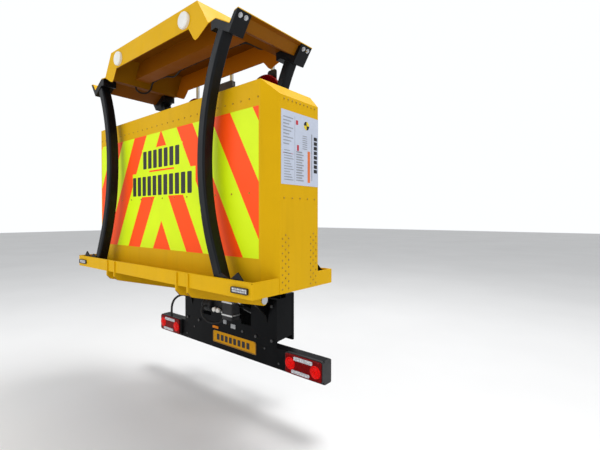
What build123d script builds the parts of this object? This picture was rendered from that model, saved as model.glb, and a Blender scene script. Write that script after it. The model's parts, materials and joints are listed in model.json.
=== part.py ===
from build123d import *
import math
import os

# A tilting crash cushion with a lifting light arrow board, for the back of a light truck.
# Millimetres. +X is to the right seen from behind, +Y points at the truck, +Z is up.
# The origin is the centre of the mounting plate's front face, where the truck's chassis meets it.

# ---------------------------------------------------------------- driving dimensions
fit = 0.05                    # radial running clearance of a pin, rod or piston
contact = 0.3                 # seated gap between curved or bent pieces
sheet = 3.0                   # folded skin of the cushion box

# box of the cushion
box_half = 1050.0             # half its width, over the side skins
box_front = -426.0
box_depth = 434.0
box_rear = box_front - box_depth
corner_in = 95.0              # the corner bevels, across and along
corner_back = 50.0
box_side_top = 1420.0
box_roof_top = 1507.0

# deck tray under the box
deck_bottom = 367.0
deck_floor = 6.0
lip_height = 82.0
lip_wall = 5.0
deck_rear = box_rear - 148.0
deck_front = -327.0
deck_lamp_inner = 905.0
deck_lamp_outer = 1020.0
deck_lamp_low = 390.0
deck_lamp_height = 32.0
deck_lamp_depth = 12.0

# tilt pivot, lugs and bushes
pivot_y = -390.0
pivot_z = 190.0
pivot_r = 20.0
lug_in = 400.0                # centre planes of the inner and outer lugs
lug_out = 515.0
lug_plate = 14.0
lug_end_r = 38.0
lug_rear_low = 308.0
lug_rib = 8.0                 # ribs stand this far behind the rear lip
bush_r = 38.0
bush_side_gap = 1.0
ear_r = 48.0

# mounting plate and frame
plate_half = 470.0
plate_high = 180.0
plate_low = -190.0
plate_thick = 20.0
bolt_span_x = 700.0
bolt_span_z = 260.0
bolt_hole_r = 9.0
cheek_mid = 457.5
cheek_plate = 20.0
back_plate_rear = -300.0
back_plate_thick = 8.0
back_plate_half = 560.0
window_mid = 240.0            # windows that the cylinders pass through
window_width = 110.0
window_low = -55.0
window_high = 150.0

# underrun bar, lamps and number plate
bar_half = 954.0
bar_low = -324.0
bar_height = 157.0
bar_rear = -279.0
bar_depth = 79.0
bar_wall = 5.0
bar_cap = 6.0
lamp_in = 640.0
lamp_out = 960.0
lamp_low = -310.0
lamp_height = 145.0
lamp_housing_depth = 21.0
lamp_lens_depth = 12.0
lamp_lens_rim = 6.0
number_mid = 75.0
number_width = 520.0
number_height = 111.0
number_low = -275.0
number_thick = 3.0
number_step = 22.0            # cut-off upper corners of the plate's holder

# tilt cylinders
cyl_x = 240.0
cyl_base_y = -90.0
cyl_base_z = -30.0
crank_y = -560.0
crank_z = 250.0
crank_x = 268.0               # centre plane of the crank plate, beside the rod's eye
crank_plate = 12.0
crank_end_r = 35.0
cyl_pin_r = 12.5
eye_r = 30.0
eye_width = 40.0
barrel_r = 35.0
barrel_bore_r = 28.0
barrel_length = 300.0         # base pin to the end of the gland
barrel_floor = 46.0           # base pin to the start of the bore
gland_length = 25.0
rod_r = 18.0
piston_length = 25.0
rod_to_piston = 300.0         # rod pin to the piston's far face
bracket_plate = 12.0

# curved arms between the deck and the top panel
arm_radius = 1380.0
arm_centre_x = 1961.0
arm_centre_z = 1130.0
arm_straight_from = 600.0     # height where the arc becomes a straight foot
arm_radial = 64.0
arm_along = 72.0
arm_wall = 5.0
arm_corner = 14.0
rear_arm_lean = 1.3            # degrees that the rear arms' feet stand further back than their tops
lean_from_z = 1700.0
rear_arm_y = box_rear - 64.0
front_arm_y = -371.5
saddle_rear_y = box_rear - 102.0    # rear faces of the saddles
saddle_front_y = -430.0
saddle_length = 100.0
foot_cheek = 6.0
foot_valley = 75.0            # height of the foot plate's valley above the deck floor
foot_peaks = (105.0, 119.0)   # its inner and outer peaks
foot_shoulder = 62.0
foot_inner_x = 720.0
foot_outer_x = 985.0
saddle_bolt_r = 9.5

# top panel
panel_rear = box_rear - 100.0
panel_front = -328.0
panel_top = 2022.0
panel_sheet = 5.0
panel_flat_half = 544.0
panel_knee_x = 644.0
panel_knee_z = 1862.0
panel_peak_x = 711.0
panel_peak_z = 1868.0
panel_valley_x = 827.0
panel_valley_z = 1804.0
panel_flank_x = 865.0
panel_flank_z = 1856.0
panel_edge_x = 895.0
panel_edge_z = 1862.0
skirt_sheet = 4.0
skirt_low = 1883.0
skirt_notch_x = 459.0
skirt_tooth_x = 526.0
rear_tooth_z = 1800.0
front_tooth_z = 1819.0
beam_rear = -730.0
beam_front = -610.0
beam_low = 1900.0
beam_wall = 4.0
pad_x = 419.0
pad_z = 1945.0
pad_r = 50.0
pad_thick = 20.0
panel_cable_r = 6.5

# masts and light arrow board
mast_x = 457.0
mast_y = -230.0
mast_r = 15.0
mast_wall = 3.0
mast_top = 2000.0
mast_beam_half = 560.0
mast_beam_side = 60.0
mast_beam_wall = 4.0
board_half = 800.0
board_low = 550.0
board_high = 1700.0
board_corner_half = 520.0     # the panel's upper corners slope down from here
board_corner_low = 1480.0
board_round = 30.0
board_rear = -280.0
board_sheet = 4.0
rail_low_1 = 680.0            # lower faces of the two rails and their sliders
rail_low_2 = 1280.0
rail_height = 40.0
slider_side = 44.0
slider_height = 100.0
slider_fit = 0.1
amber_r = 60.0
amber_depth = 16.0
amber_pitch_x = 150.0
amber_pitch_z = 150.0
red_x = 426.0
red_z = 1650.0
red_r = 160.0
red_depth = 34.0
amber_row_z = 1090.0          # height of the arrow's shaft
rail_end_gap = 40.0
control_left = -80.0
control_right = 100.0
control_low = 1680.0
control_high = 1845.0
control_depth = 32.0

# ---------------------------------------------------------------- derived sizes
ridge_half = box_half - corner_in   # half the width of the flat roof and of the flat rear face
deck_top = deck_bottom + lip_height
floor_top = deck_bottom + deck_floor
deck_half = box_half - sheet
box_mid_z = floor_top + 520.0
rail_depth = (mast_y - slider_side / 2) - (board_rear + board_sheet)
sides = (-1, 1)

box_plan = [
    (-box_half, box_rear + corner_back),
    (-ridge_half, box_rear),
    (ridge_half, box_rear),
    (box_half, box_rear + corner_back),
    (box_half, box_front - corner_back),
    (ridge_half, box_front),
    (-ridge_half, box_front),
    (-box_half, box_front - corner_back),
]

os.makedirs("parts", exist_ok=True)


def at_y(y):
    """Plane across the object at y; it faces rearwards, with x across and z up."""
    return Plane.XZ.offset(-y)


def at_x(x):
    """Plane along the object at x; it faces right, with y across and z up."""
    return Plane.YZ.offset(x)


def save(part, name):
    """Label a finished piece and write its STEP file."""
    part.label = name
    export_step(part, f"parts/{name}.step")


def mirrored(points):
    """Outline points of the right half, then the same points mirrored to the left."""
    return points + [(-x, z) for x, z in reversed(points)]


def block(x0, x1, y0, y1, z0, z1, mode=Mode.ADD):
    """Rectangular block between two corners, in the current part."""
    with Locations(((x0 + x1) / 2, (y0 + y1) / 2, (z0 + z1) / 2)):
        Box(abs(x1 - x0), abs(y1 - y0), abs(z1 - z0), mode=mode)


# ================================================================ mount frame
with BuildPart() as mounting_plate:
    block(-plate_half, plate_half, -plate_thick, 0, plate_low, plate_high)
    with Locations(Plane.XZ):
        with GridLocations(bolt_span_x, bolt_span_z, 2, 2):
            Hole(radius=bolt_hole_r)
save(mounting_plate.part, "mounting_plate")

# Side cheeks: gusset plates from the mounting plate to the ears that hold the tilt bushes.
cheek_outline = [
    (-plate_thick, plate_high),
    (back_plate_rear, plate_high),
    (pivot_y, pivot_z + ear_r),
    (pivot_y - ear_r, pivot_z),
    (pivot_y - ear_r * 0.5, pivot_z - ear_r * 0.866),
    (back_plate_rear - 14, 60),
    (back_plate_rear, 0),
    (back_plate_rear, bar_low + bar_height),
    (bar_rear + bar_depth, bar_low + bar_height),
    (-plate_thick, plate_low + 40),
]
with BuildPart() as side_cheeks:
    for side in sides:
        with BuildSketch(at_x(side * cheek_mid - cheek_plate / 2)):
            Polygon(*cheek_outline, align=None)
            with Locations((pivot_y, pivot_z)):
                Circle(ear_r)
                Circle(bush_r + fit, mode=Mode.SUBTRACT)
        extrude(amount=cheek_plate)
save(side_cheeks.part, "side_cheeks")

bush_length = (lug_out - lug_in) - lug_plate - 2 * bush_side_gap
with BuildPart() as pivot_bushes:
    for side in sides:
        middle = side * (lug_in + lug_out) / 2
        with BuildSketch(at_x(middle - bush_length / 2)):
            with Locations((pivot_y, pivot_z)):
                Circle(bush_r)
                Circle(pivot_r + fit, mode=Mode.SUBTRACT)
        extrude(amount=bush_length)
save(pivot_bushes.part, "pivot_bushes")

cheek_in = cheek_mid - cheek_plate / 2
cheek_out = cheek_mid + cheek_plate / 2
back_front = back_plate_rear + back_plate_thick
with BuildPart() as back_plate:
    block(-cheek_in, cheek_in, back_plate_rear, back_front, bar_low + bar_height, plate_high)
    for side in sides:
        block(side * (window_mid - window_width / 2), side * (window_mid + window_width / 2),
              back_plate_rear, back_front, window_low, window_high, mode=Mode.SUBTRACT)
        block(side * cheek_out, side * back_plate_half, back_plate_rear, back_front,
              bar_low + bar_height, plate_high)
save(back_plate.part, "back_plate")

with BuildPart() as underrun_bar:
    block(-bar_half, bar_half, bar_rear, bar_rear + bar_depth, bar_low, bar_low + bar_height)
    fillet(underrun_bar.edges().filter_by(Axis.X), 8)
    block(-bar_half, bar_half, bar_rear + bar_wall, bar_rear + bar_depth - bar_wall,
          bar_low + bar_wall, bar_low + bar_height - bar_wall, mode=Mode.SUBTRACT)
save(underrun_bar.part, "underrun_bar")

with BuildPart() as bar_end_caps:
    for side in sides:
        with BuildSketch(at_x(side * bar_half + min(side, 0) * bar_cap)):
            with Locations((bar_rear + bar_depth / 2, bar_low + bar_height / 2)):
                RectangleRounded(bar_depth, bar_height, 12)
        extrude(amount=bar_cap)
save(bar_end_caps.part, "bar_end_caps")

lamp_mid = (lamp_in + lamp_out) / 2
lamp_width = lamp_out - lamp_in
lamp_mid_z = lamp_low + lamp_height / 2
lens_rear = bar_rear - lamp_housing_depth
with BuildPart() as tail_lamp_housings:
    for side in sides:
        with BuildSketch(at_y(bar_rear)):
            with Locations((side * lamp_mid, lamp_mid_z)):
                RectangleRounded(lamp_width, lamp_height, 18)
        extrude(amount=lamp_housing_depth)
save(tail_lamp_housings.part, "tail_lamp_housings")

with BuildPart() as tail_lamp_lenses:
    for side in sides:
        with BuildSketch(at_y(lens_rear)):
            with Locations((side * lamp_mid, lamp_mid_z)):
                RectangleRounded(lamp_width - 2 * lamp_lens_rim, lamp_height - 2 * lamp_lens_rim, 14)
        extrude(amount=lamp_lens_depth)
save(tail_lamp_lenses.part, "tail_lamp_lenses")

holder_rear = bar_rear - number_thick
holder_half = number_width / 2
holder_outline = [
    (number_mid - holder_half, number_low),
    (number_mid + holder_half, number_low),
    (number_mid + holder_half, number_low + number_height - number_step),
    (number_mid + holder_half - number_step, number_low + number_height),
    (number_mid - holder_half + number_step, number_low + number_height),
    (number_mid - holder_half, number_low + number_height - number_step),
]
with BuildPart() as plate_holder:
    with BuildSketch(at_y(bar_rear)):
        Polygon(*holder_outline, align=None)
    extrude(amount=number_thick)
save(plate_holder.part, "plate_holder")

with BuildPart() as number_plate:
    with BuildSketch(at_y(holder_rear)):
        Polygon(*holder_outline, align=None)
        offset(amount=-4, mode=Mode.REPLACE)
    extrude(amount=number_thick)
save(number_plate.part, "number_plate")

# Hydraulic pack on the rear of the back plate, between the cylinders.
with BuildPart() as valve_block:
    block(-60, 60, back_plate_rear - 72, back_plate_rear, 10, 110)
    chamfer(valve_block.edges().filter_by(Axis.Y), 4)
save(valve_block.part, "valve_block")

with BuildPart() as pump_motor:
    with BuildSketch(at_x(-175)):
        with Locations((back_plate_rear - 56, 60)):
            Circle(55)
    extrude(amount=115)
    fillet(pump_motor.faces().sort_by(Axis.X)[0].edges(), 10)
save(pump_motor.part, "pump_motor")

with BuildPart() as hydraulic_tank:
    block(60, 176, back_plate_rear - 90, back_plate_rear, -20, 150)
    fillet(hydraulic_tank.edges().filter_by(Axis.Z), 12)
save(hydraulic_tank.part, "hydraulic_tank")

with BuildPart() as filler_caps:
    for cap_x in (-27, 20):
        with BuildSketch(at_y(back_plate_rear - 72)):
            with Locations((cap_x, 40)):
                Circle(18)
        extrude(amount=34)
    fillet(filler_caps.faces().sort_by(Axis.Y)[0:2].edges(), 5)
save(filler_caps.part, "filler_caps")

# Each cylinder's base pin stands in two ears on the mounting plate.
with BuildPart() as cylinder_brackets:
    for side in sides:
        for ear in sides:
            ear_mid = side * cyl_x + ear * (eye_width / 2 + 1 + bracket_plate / 2)
            with BuildSketch(at_x(ear_mid - bracket_plate / 2)):
                Polygon((-plate_thick, cyl_base_z - 60), (-plate_thick, cyl_base_z + 60),
                        (cyl_base_y, cyl_base_z + eye_r), (cyl_base_y, cyl_base_z - eye_r), align=None)
                with Locations((cyl_base_y, cyl_base_z)):
                    Circle(eye_r)
                    Circle(cyl_pin_r + fit, mode=Mode.SUBTRACT)
            extrude(amount=bracket_plate)
save(cylinder_brackets.part, "cylinder_brackets")

base_pin_half = eye_width / 2 + 1 + bracket_plate + 6
with BuildPart() as cylinder_base_pins:
    for side in sides:
        with BuildSketch(at_x(side * cyl_x - base_pin_half)):
            with Locations((cyl_base_y, cyl_base_z)):
                Circle(cyl_pin_r)
        extrude(amount=2 * base_pin_half)
save(cylinder_base_pins.part, "cylinder_base_pins")

mast_beam_top = plate_high + mast_beam_side
with BuildPart() as mast_beam:
    block(-mast_beam_half, mast_beam_half, mast_y - mast_beam_side / 2, mast_y + mast_beam_side / 2,
          plate_high, mast_beam_top)
    fillet(mast_beam.edges().filter_by(Axis.X), 6)
    inner = mast_beam_side / 2 - mast_beam_wall
    block(-mast_beam_half, mast_beam_half, mast_y - inner, mast_y + inner,
          plate_high + mast_beam_wall, mast_beam_top - mast_beam_wall, mode=Mode.SUBTRACT)
save(mast_beam.part, "mast_beam")

mast_places = (-mast_x, 0, mast_x)
with BuildPart() as masts:
    with BuildSketch(Plane.XY.offset(mast_beam_top)):
        with Locations(*[(x, mast_y) for x in mast_places]):
            Circle(mast_r)
            Circle(mast_r - mast_wall, mode=Mode.SUBTRACT)
    extrude(amount=mast_top - mast_beam_top)
save(masts.part, "masts")

# Conduit of the left lamp: out of the housing's top, then across to the frame's cheek.
conduit_r = 10.0
conduit_route = [
    (-800, bar_rear - 9, lamp_low + lamp_height),
    (-800, bar_rear - 9, -110),
    (-812, bar_rear + 2, -62),
    (-800, bar_rear + 18, -12),
    (-762, bar_rear + 36, 22),
    (-712, bar_rear + 46, 40),
    (-660, bar_rear + 48, 44),
    (-606, bar_rear + 50, 36),
    (-552, bar_rear + 54, 34),
    (-510, bar_rear + 56, 40),
    (-cheek_out, bar_rear + 56, 40),
]


def bend_radii(route):
    """Largest arcs the runs allow: 0.45 of the shorter run over the tangent of half the turn."""
    radii = []
    for before, here, after in zip(route, route[1:], route[2:]):
        first = Vector(*here) - Vector(*before)
        second = Vector(*after) - Vector(*here)
        turn = math.radians(first.get_angle(second))
        radii.append(0.45 * min(first.length, second.length) / math.tan(turn / 2))
    return radii


def cord(route, radius):
    """Round tube along straight runs joined by tangent arcs, in the current part."""
    radii = bend_radii(route)
    print("bend radii", [round(r) for r in radii])
    with BuildLine(mode=Mode.PRIVATE) as path:
        FilletPolyline(*route, radius=radii)
    with BuildSketch(Plane(origin=path.line @ 0, z_dir=path.line % 0), mode=Mode.PRIVATE) as section:
        Circle(radius)
    return sweep(section.sketch, path=path.line, mode=Mode.PRIVATE)


conduit = cord(conduit_route, conduit_r)
print("conduit", round(conduit.volume / (math.pi * conduit_r ** 2)), "mm long")
save(conduit, "lamp_conduit")

hose_r = 8.0
hose_route = [
    (-112, back_plate_rear - 111.5, 60),
    (-112, back_plate_rear - 142, 60),
    (-110, back_plate_rear - 158, 22),
    (-96, back_plate_rear - 150, -24),
    (-62, back_plate_rear - 126, -60),
    (-16, back_plate_rear - 94, -68),
    (14, back_plate_rear - 60, -58),
    (20, back_plate_rear - 36, -26),
    (20, back_plate_rear - 36, 10),
]
hose = cord(hose_route, hose_r)
print("hose", round(hose.volume / (math.pi * hose_r ** 2)), "mm long")
save(hose, "hydraulic_hose")

with BuildPart() as frame_bolts:
    for side in sides:
        for bolt_z in (-120, 130):
            with BuildSketch(at_y(back_plate_rear)):
                with Locations((side * 515, bolt_z), (side * 350, bolt_z)):
                    RegularPolygon(12, 6)
            extrude(amount=9)
save(frame_bolts.part, "frame_bolts")

# ================================================================ cushion: deck and hinge
with BuildPart() as deck_tray:
    block(-deck_half, deck_half, deck_rear, deck_front, deck_bottom, deck_top)
    block(-deck_half + lip_wall, deck_half - lip_wall, deck_rear + lip_wall, deck_front - lip_wall,
          floor_top, deck_top, mode=Mode.SUBTRACT)
    with BuildSketch(Plane.XY.offset(floor_top)):
        Polygon(*box_plan, align=None)
    extrude(amount=lip_height, mode=Mode.SUBTRACT)
save(deck_tray.part, "deck_tray")

with BuildPart() as deck_lamps:
    for side in sides:
        with BuildSketch(at_y(deck_rear)):
            with Locations((side * (deck_lamp_inner + deck_lamp_outer) / 2, deck_lamp_low + deck_lamp_height / 2)):
                RectangleRounded(deck_lamp_outer - deck_lamp_inner, deck_lamp_height, 4)
        extrude(amount=deck_lamp_depth)
save(deck_lamps.part, "deck_lamps")

# Lug plates under the deck: round about the tilt pivot, then a tangent edge back to the rear lip.
lug_front = pivot_y + lug_end_r
lug_corner = (deck_rear + 18.0, lug_rear_low)
reach = math.hypot(lug_corner[0] - pivot_y, lug_corner[1] - pivot_z)
to_pivot = math.atan2(pivot_z - lug_corner[1], pivot_y - lug_corner[0])
tangent_turn = to_pivot - math.asin(lug_end_r / reach)
tangent_run = math.sqrt(reach ** 2 - lug_end_r ** 2)
tangent_point = (lug_corner[0] + tangent_run * math.cos(tangent_turn),
                 lug_corner[1] + tangent_run * math.sin(tangent_turn))
arc_mid = (pivot_y + lug_end_r * math.cos(math.radians(-45)),
           pivot_z + lug_end_r * math.sin(math.radians(-45)))
lug_rear = deck_rear - lug_rib
with BuildPart() as hinge_lugs:
    for side in sides:
        for lug_mid in (lug_in, lug_out):
            with BuildSketch(at_x(side * lug_mid - lug_plate / 2)):
                with BuildLine():
                    Polyline((lug_front, pivot_z), (lug_front, deck_bottom), (deck_rear, deck_bottom),
                             (deck_rear, deck_top - 3), (lug_rear, deck_top - 3),
                             (lug_rear, lug_rear_low + 30), lug_corner, tangent_point)
                    ThreePointArc(tangent_point, arc_mid, (lug_front, pivot_z))
                make_face()
                with Locations((pivot_y, pivot_z)):
                    Circle(pivot_r + fit, mode=Mode.SUBTRACT)
            extrude(amount=lug_plate)
save(hinge_lugs.part, "hinge_lugs")

pin_head = 8.0
with BuildPart() as hinge_pins:
    for side in sides:
        inner_face = lug_in - lug_plate / 2
        outer_face = lug_out + lug_plate / 2
        start = min(side * inner_face, side * outer_face)
        with BuildSketch(at_x(start)):
            with Locations((pivot_y, pivot_z)):
                Circle(pivot_r)
        extrude(amount=outer_face - inner_face)
        for end in (start - pin_head, start + outer_face - inner_face):
            with BuildSketch(at_x(end)):
                with Locations((pivot_y, pivot_z)):
                    Circle(pivot_r + 9)
            extrude(amount=pin_head)
save(hinge_pins.part, "hinge_pins")

with BuildPart() as crank_plates:
    for side in sides:
        with BuildSketch(at_x(side * crank_x - crank_plate / 2)):
            Polygon((crank_y - 85, deck_bottom), (crank_y + 85, deck_bottom),
                    (crank_y + crank_end_r, crank_z), (crank_y - crank_end_r, crank_z), align=None)
            with Locations((crank_y, crank_z)):
                Circle(crank_end_r)
                Circle(cyl_pin_r + fit, mode=Mode.SUBTRACT)
        extrude(amount=crank_plate)
save(crank_plates.part, "crank_plates")

with BuildPart() as crank_pins:
    for side in sides:
        inner = crank_x - crank_plate / 2
        outer = crank_x + crank_plate / 2
        with BuildSketch(at_x(min(side * inner, side * outer))):
            with Locations((crank_y, crank_z)):
                Circle(cyl_pin_r)
        extrude(amount=crank_plate)
        with BuildSketch(at_x(side * outer + min(side, 0) * pin_head)):
            with Locations((crank_y, crank_z)):
                Circle(cyl_pin_r + 7)
        extrude(amount=pin_head)
save(crank_pins.part, "crank_pins")

# ================================================================ cushion: box
# The skin is cut by a plane that carries the roof's underside out past the side skins.
skin_over = 10.0
roof_fall = (box_roof_top - box_side_top) / (box_half - ridge_half)
skin_over_top = box_side_top - sheet - skin_over * roof_fall
with BuildPart() as box_skin:
    with BuildSketch(Plane.XY.offset(floor_top)):
        Polygon(*box_plan, align=None)
    extrude(amount=box_roof_top - floor_top)
    with BuildSketch(at_y(box_front + skin_over)):
        Polygon(*mirrored([(box_half + skin_over, 0), (box_half + skin_over, skin_over_top),
                           (ridge_half, box_roof_top - sheet)]), align=None)
    extrude(amount=box_depth + 2 * skin_over, mode=Mode.INTERSECT)
    with BuildSketch(Plane.XY.offset(floor_top)):
        Polygon(*box_plan, align=None)
        offset(amount=-sheet, kind=Kind.INTERSECTION, mode=Mode.REPLACE)
    extrude(amount=box_roof_top - floor_top, mode=Mode.SUBTRACT)

rear_edge = box_rear + corner_back
front_edge = box_front - corner_back
skin_cuts = {
    "box_rear_sheet": (-box_half, box_half, box_rear, rear_edge),
    "box_front_sheet": (-box_half, box_half, front_edge, box_front),
}
for name, (x0, x1, y0, y1) in skin_cuts.items():
    with BuildPart() as skin:
        add(box_skin.part)
        block(x0, x1, y0, y1, 0, box_roof_top, mode=Mode.INTERSECT)
    save(skin.part, name)

for name, side in (("box_left_sheet", -1), ("box_right_sheet", 1)):
    with BuildPart() as skin:
        block(side * (box_half - sheet), side * box_half, rear_edge, front_edge,
              deck_bottom, box_side_top - sheet)
    save(skin.part, name)

with BuildPart() as box_roof:
    with BuildSketch(at_y(box_front)):
        Polygon(*[(box_half, box_side_top), (ridge_half, box_roof_top),
                  (-ridge_half, box_roof_top), (-box_half, box_side_top),
                  (-box_half, box_side_top - sheet), (-ridge_half, box_roof_top - sheet),
                  (ridge_half, box_roof_top - sheet), (box_half, box_side_top - sheet)], align=None)
    extrude(amount=box_depth)
    with BuildSketch(Plane.XY.offset(box_side_top - 2 * sheet)):
        Polygon(*box_plan, align=None)
    extrude(amount=box_roof_top, mode=Mode.INTERSECT)
save(box_roof.part, "box_roof")

inner_half = box_half - sheet - contact
diaphragm_sheet = 4.0
with BuildPart() as box_diaphragm:
    with BuildSketch(Plane.XY.offset(box_mid_z)):
        Polygon(*box_plan, align=None)
        offset(amount=-sheet - contact, kind=Kind.INTERSECTION, mode=Mode.REPLACE)
    extrude(amount=diaphragm_sheet)
save(box_diaphragm.part, "box_diaphragm")

web = 2.0
web_pitch = 190.0
core_top_gap = 12.0
core_top = {"lower_core": box_mid_z, "upper_core": box_side_top - sheet - core_top_gap}
core_low = {"lower_core": floor_top, "upper_core": box_mid_z + diaphragm_sheet}
for name in ("lower_core", "upper_core"):
    with BuildPart() as core:
        low = core_low[name]
        high = core_top[name]
        middle_y = (box_rear + box_front) / 2
        block(-inner_half, inner_half, middle_y - web / 2, middle_y + web / 2, low, high)
        for index in range(-4, 5):
            web_x = index * web_pitch
            block(web_x - web / 2, web_x + web / 2, box_rear + sheet + contact,
                  box_front - sheet - contact, low, high)
    save(core.part, name)

film = 1.0
chevron_inset = 12.0
chevron_low = 550.0
chevron_high = 1367.0
chevron_half = ridge_half - chevron_inset
with BuildPart() as chevron_sheet:
    block(-chevron_half, chevron_half, box_rear - film, box_rear, chevron_low, chevron_high)
save(chevron_sheet.part, "chevron_sheet")

label_rear = rear_edge + 8.0
label_front = front_edge + 1.0
label_low = 950.0
label_high = 1345.0
with BuildPart() as side_label:
    block(box_half, box_half + film, label_rear, label_front, label_low, label_high)
save(side_label.part, "side_label")

# ================================================================ cushion: saddles, arms and top panel
saddle_inner_x = 674.0
saddle_top = [
    (saddle_inner_x, panel_peak_z - panel_sheet - 5 - contact),
    (panel_peak_x, panel_peak_z - panel_sheet - contact),
    (panel_valley_x, panel_valley_z - panel_sheet - contact),
    (panel_flank_x, panel_flank_z - panel_sheet - contact),
    (panel_edge_x, panel_edge_z - panel_sheet - contact),
]
saddle_tip = (823.0, 1752.0)
saddle_knee = (711.0, 1812.0)
saddle_outline = saddle_top + [saddle_tip, saddle_knee, (saddle_inner_x, saddle_knee[1] - 5)]
saddle_places = (saddle_rear_y, saddle_front_y)
with BuildPart() as saddle_brackets:
    for side in sides:
        for rear_face in saddle_places:
            with BuildSketch(at_y(rear_face + saddle_length)):
                Polygon(*[(side * x, z) for x, z in saddle_outline], align=None)
            extrude(amount=saddle_length)
save(saddle_brackets.part, "saddle_brackets")

flank = Vector(panel_edge_x - saddle_tip[0], 0, saddle_top[4][1] - saddle_tip[1]).normalized()
bolt_spot = Vector(panel_edge_x, 0, saddle_top[4][1]) - flank * 26
with BuildPart() as saddle_bolts:
    for side in sides:
        for rear_face in saddle_places:
            for along in (0.3, 0.7):
                spot = (side * bolt_spot.X, rear_face + along * saddle_length, bolt_spot.Z)
                face_plane = Plane(origin=spot, x_dir=(0, 1, 0), z_dir=(side * flank.Z, 0, -flank.X))
                with BuildSketch(face_plane):
                    Circle(saddle_bolt_r + 4)
                extrude(amount=2)
                with BuildSketch(face_plane.offset(2)):
                    RegularPolygon(saddle_bolt_r, 6)
                extrude(amount=8)
save(saddle_bolts.part, "saddle_bolts")

foot_plate_top = floor_top + foot_cheek
foot_width = foot_outer_x - foot_inner_x
foot_outline = [
    (foot_inner_x, floor_top),
    (foot_inner_x, floor_top + foot_shoulder),
    (foot_inner_x + 0.3 * foot_width, floor_top + foot_peaks[0]),
    (foot_inner_x + 0.535 * foot_width, floor_top + foot_valley),
    (foot_inner_x + 0.775 * foot_width, floor_top + foot_peaks[1]),
    (foot_outer_x, floor_top + foot_shoulder),
    (foot_outer_x, floor_top),
]
foot_low_outline = [
    (foot_inner_x + 40, floor_top),
    (foot_inner_x + 40, floor_top + 0.8 * foot_shoulder),
    (foot_outer_x - 85, floor_top + 0.8 * foot_shoulder),
    (foot_outer_x - 85, floor_top),
]
arm_places = {"rear": rear_arm_y, "front": front_arm_y}
arm_leans = {"rear": rear_arm_lean, "front": 0.0}


def leaned(part, end_name):
    """A part of one end's arms, turned back about the height where the lean starts."""
    about = Axis((0, arm_places[end_name], lean_from_z), (1, 0, 0))
    return part.rotate(about, -arm_leans[end_name])


with BuildPart() as foot_brackets:
    for end_name, arm_y in arm_places.items():
        turn = math.radians(arm_leans[end_name])
        foot_y = arm_y - math.sin(turn) * (lean_from_z - foot_plate_top)
        rise = math.tan(turn) * foot_peaks[1]
        reach_out = arm_along / 2 + foot_cheek
        outward = -1 if end_name == "rear" else 1
        lip_face = deck_rear + lip_wall if end_name == "rear" else deck_front - lip_wall
        outer_y = foot_y + outward * min(reach_out, abs(lip_face - foot_y))
        inner_y = foot_y - outward * (reach_out + rise)
        middle_y = foot_y + outward * arm_along / 4
        for side in sides:
            for outline, y0, y1 in ((foot_outline, outer_y, middle_y), (foot_low_outline, inner_y, middle_y)):
                with BuildSketch(at_y(max(y0, y1))):
                    Polygon(*[(side * x, z) for x, z in outline], align=None)
                extrude(amount=abs(y1 - y0))
        with BuildPart(mode=Mode.PRIVATE) as slot:
            block(-box_half, box_half, arm_y - arm_along / 2 - 0.1, arm_y + arm_along / 2 + 0.1,
                  floor_top - 20, deck_top + 200)
            block(-foot_inner_x + 30, foot_inner_x - 30, arm_y - arm_along, arm_y + arm_along,
                  floor_top - 20, deck_top + 200, mode=Mode.SUBTRACT)
        with BuildPart(mode=Mode.PRIVATE) as socket:
            add(leaned(slot.part, end_name))
            split(bisect_by=Plane.XY.offset(foot_plate_top), keep=Keep.TOP)
        add(socket.part, mode=Mode.SUBTRACT)
save(foot_brackets.part, "foot_brackets")

arm_cut_above = 1835.0        # the arc runs past the saddle's underside, which cuts it
arc_low = math.asin((arm_straight_from - arm_centre_z) / arm_radius)
arc_high = math.asin((arm_cut_above - arm_centre_z) / arm_radius)
arc_start = (arm_centre_x - arm_radius * math.cos(arc_low), arm_straight_from)
foot_run = (arm_straight_from - deck_bottom) / math.cos(arc_low)
foot_end = (arc_start[0] - foot_run * math.sin(arc_low), arc_start[1] - foot_run * math.cos(arc_low))
under_x = saddle_tip[0] - saddle_knee[0]
under_z = saddle_knee[1] - saddle_tip[1]
for end_name, arm_y in arm_places.items():
    for side_name, side in (("left", -1), ("right", 1)):
        with BuildPart(mode=Mode.PRIVATE) as tube:
            with BuildLine(at_y(arm_y)) as path:
                Line((side * foot_end[0], foot_end[1]), (side * arc_start[0], arc_start[1]))
                arc_mid_angle = (arc_low + arc_high) / 2
                ThreePointArc(
                    (side * arc_start[0], arc_start[1]),
                    (side * (arm_centre_x - arm_radius * math.cos(arc_mid_angle)),
                     arm_centre_z + arm_radius * math.sin(arc_mid_angle)),
                    (side * (arm_centre_x - arm_radius * math.cos(arc_high)),
                     arm_centre_z + arm_radius * math.sin(arc_high)),
                )
            with BuildSketch(Plane(origin=path.line @ 0, x_dir=(0, 1, 0), z_dir=path.line % 0)):
                RectangleRounded(arm_along, arm_radial, arm_corner)
                RectangleRounded(arm_along - 2 * arm_wall, arm_radial - 2 * arm_wall,
                                 arm_corner - arm_wall, mode=Mode.SUBTRACT)
            sweep(path=path.line)
        with BuildPart() as arm:
            add(leaned(tube.part, end_name))
            split(bisect_by=Plane.XY.offset(foot_plate_top), keep=Keep.TOP)
            split(bisect_by=Plane(origin=(side * saddle_knee[0], 0, saddle_knee[1]),
                                  x_dir=(0, 1, 0), z_dir=(side * under_z, 0, under_x)), keep=Keep.BOTTOM)
        save(arm.part, f"{end_name}_{side_name}_arm")

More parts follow.
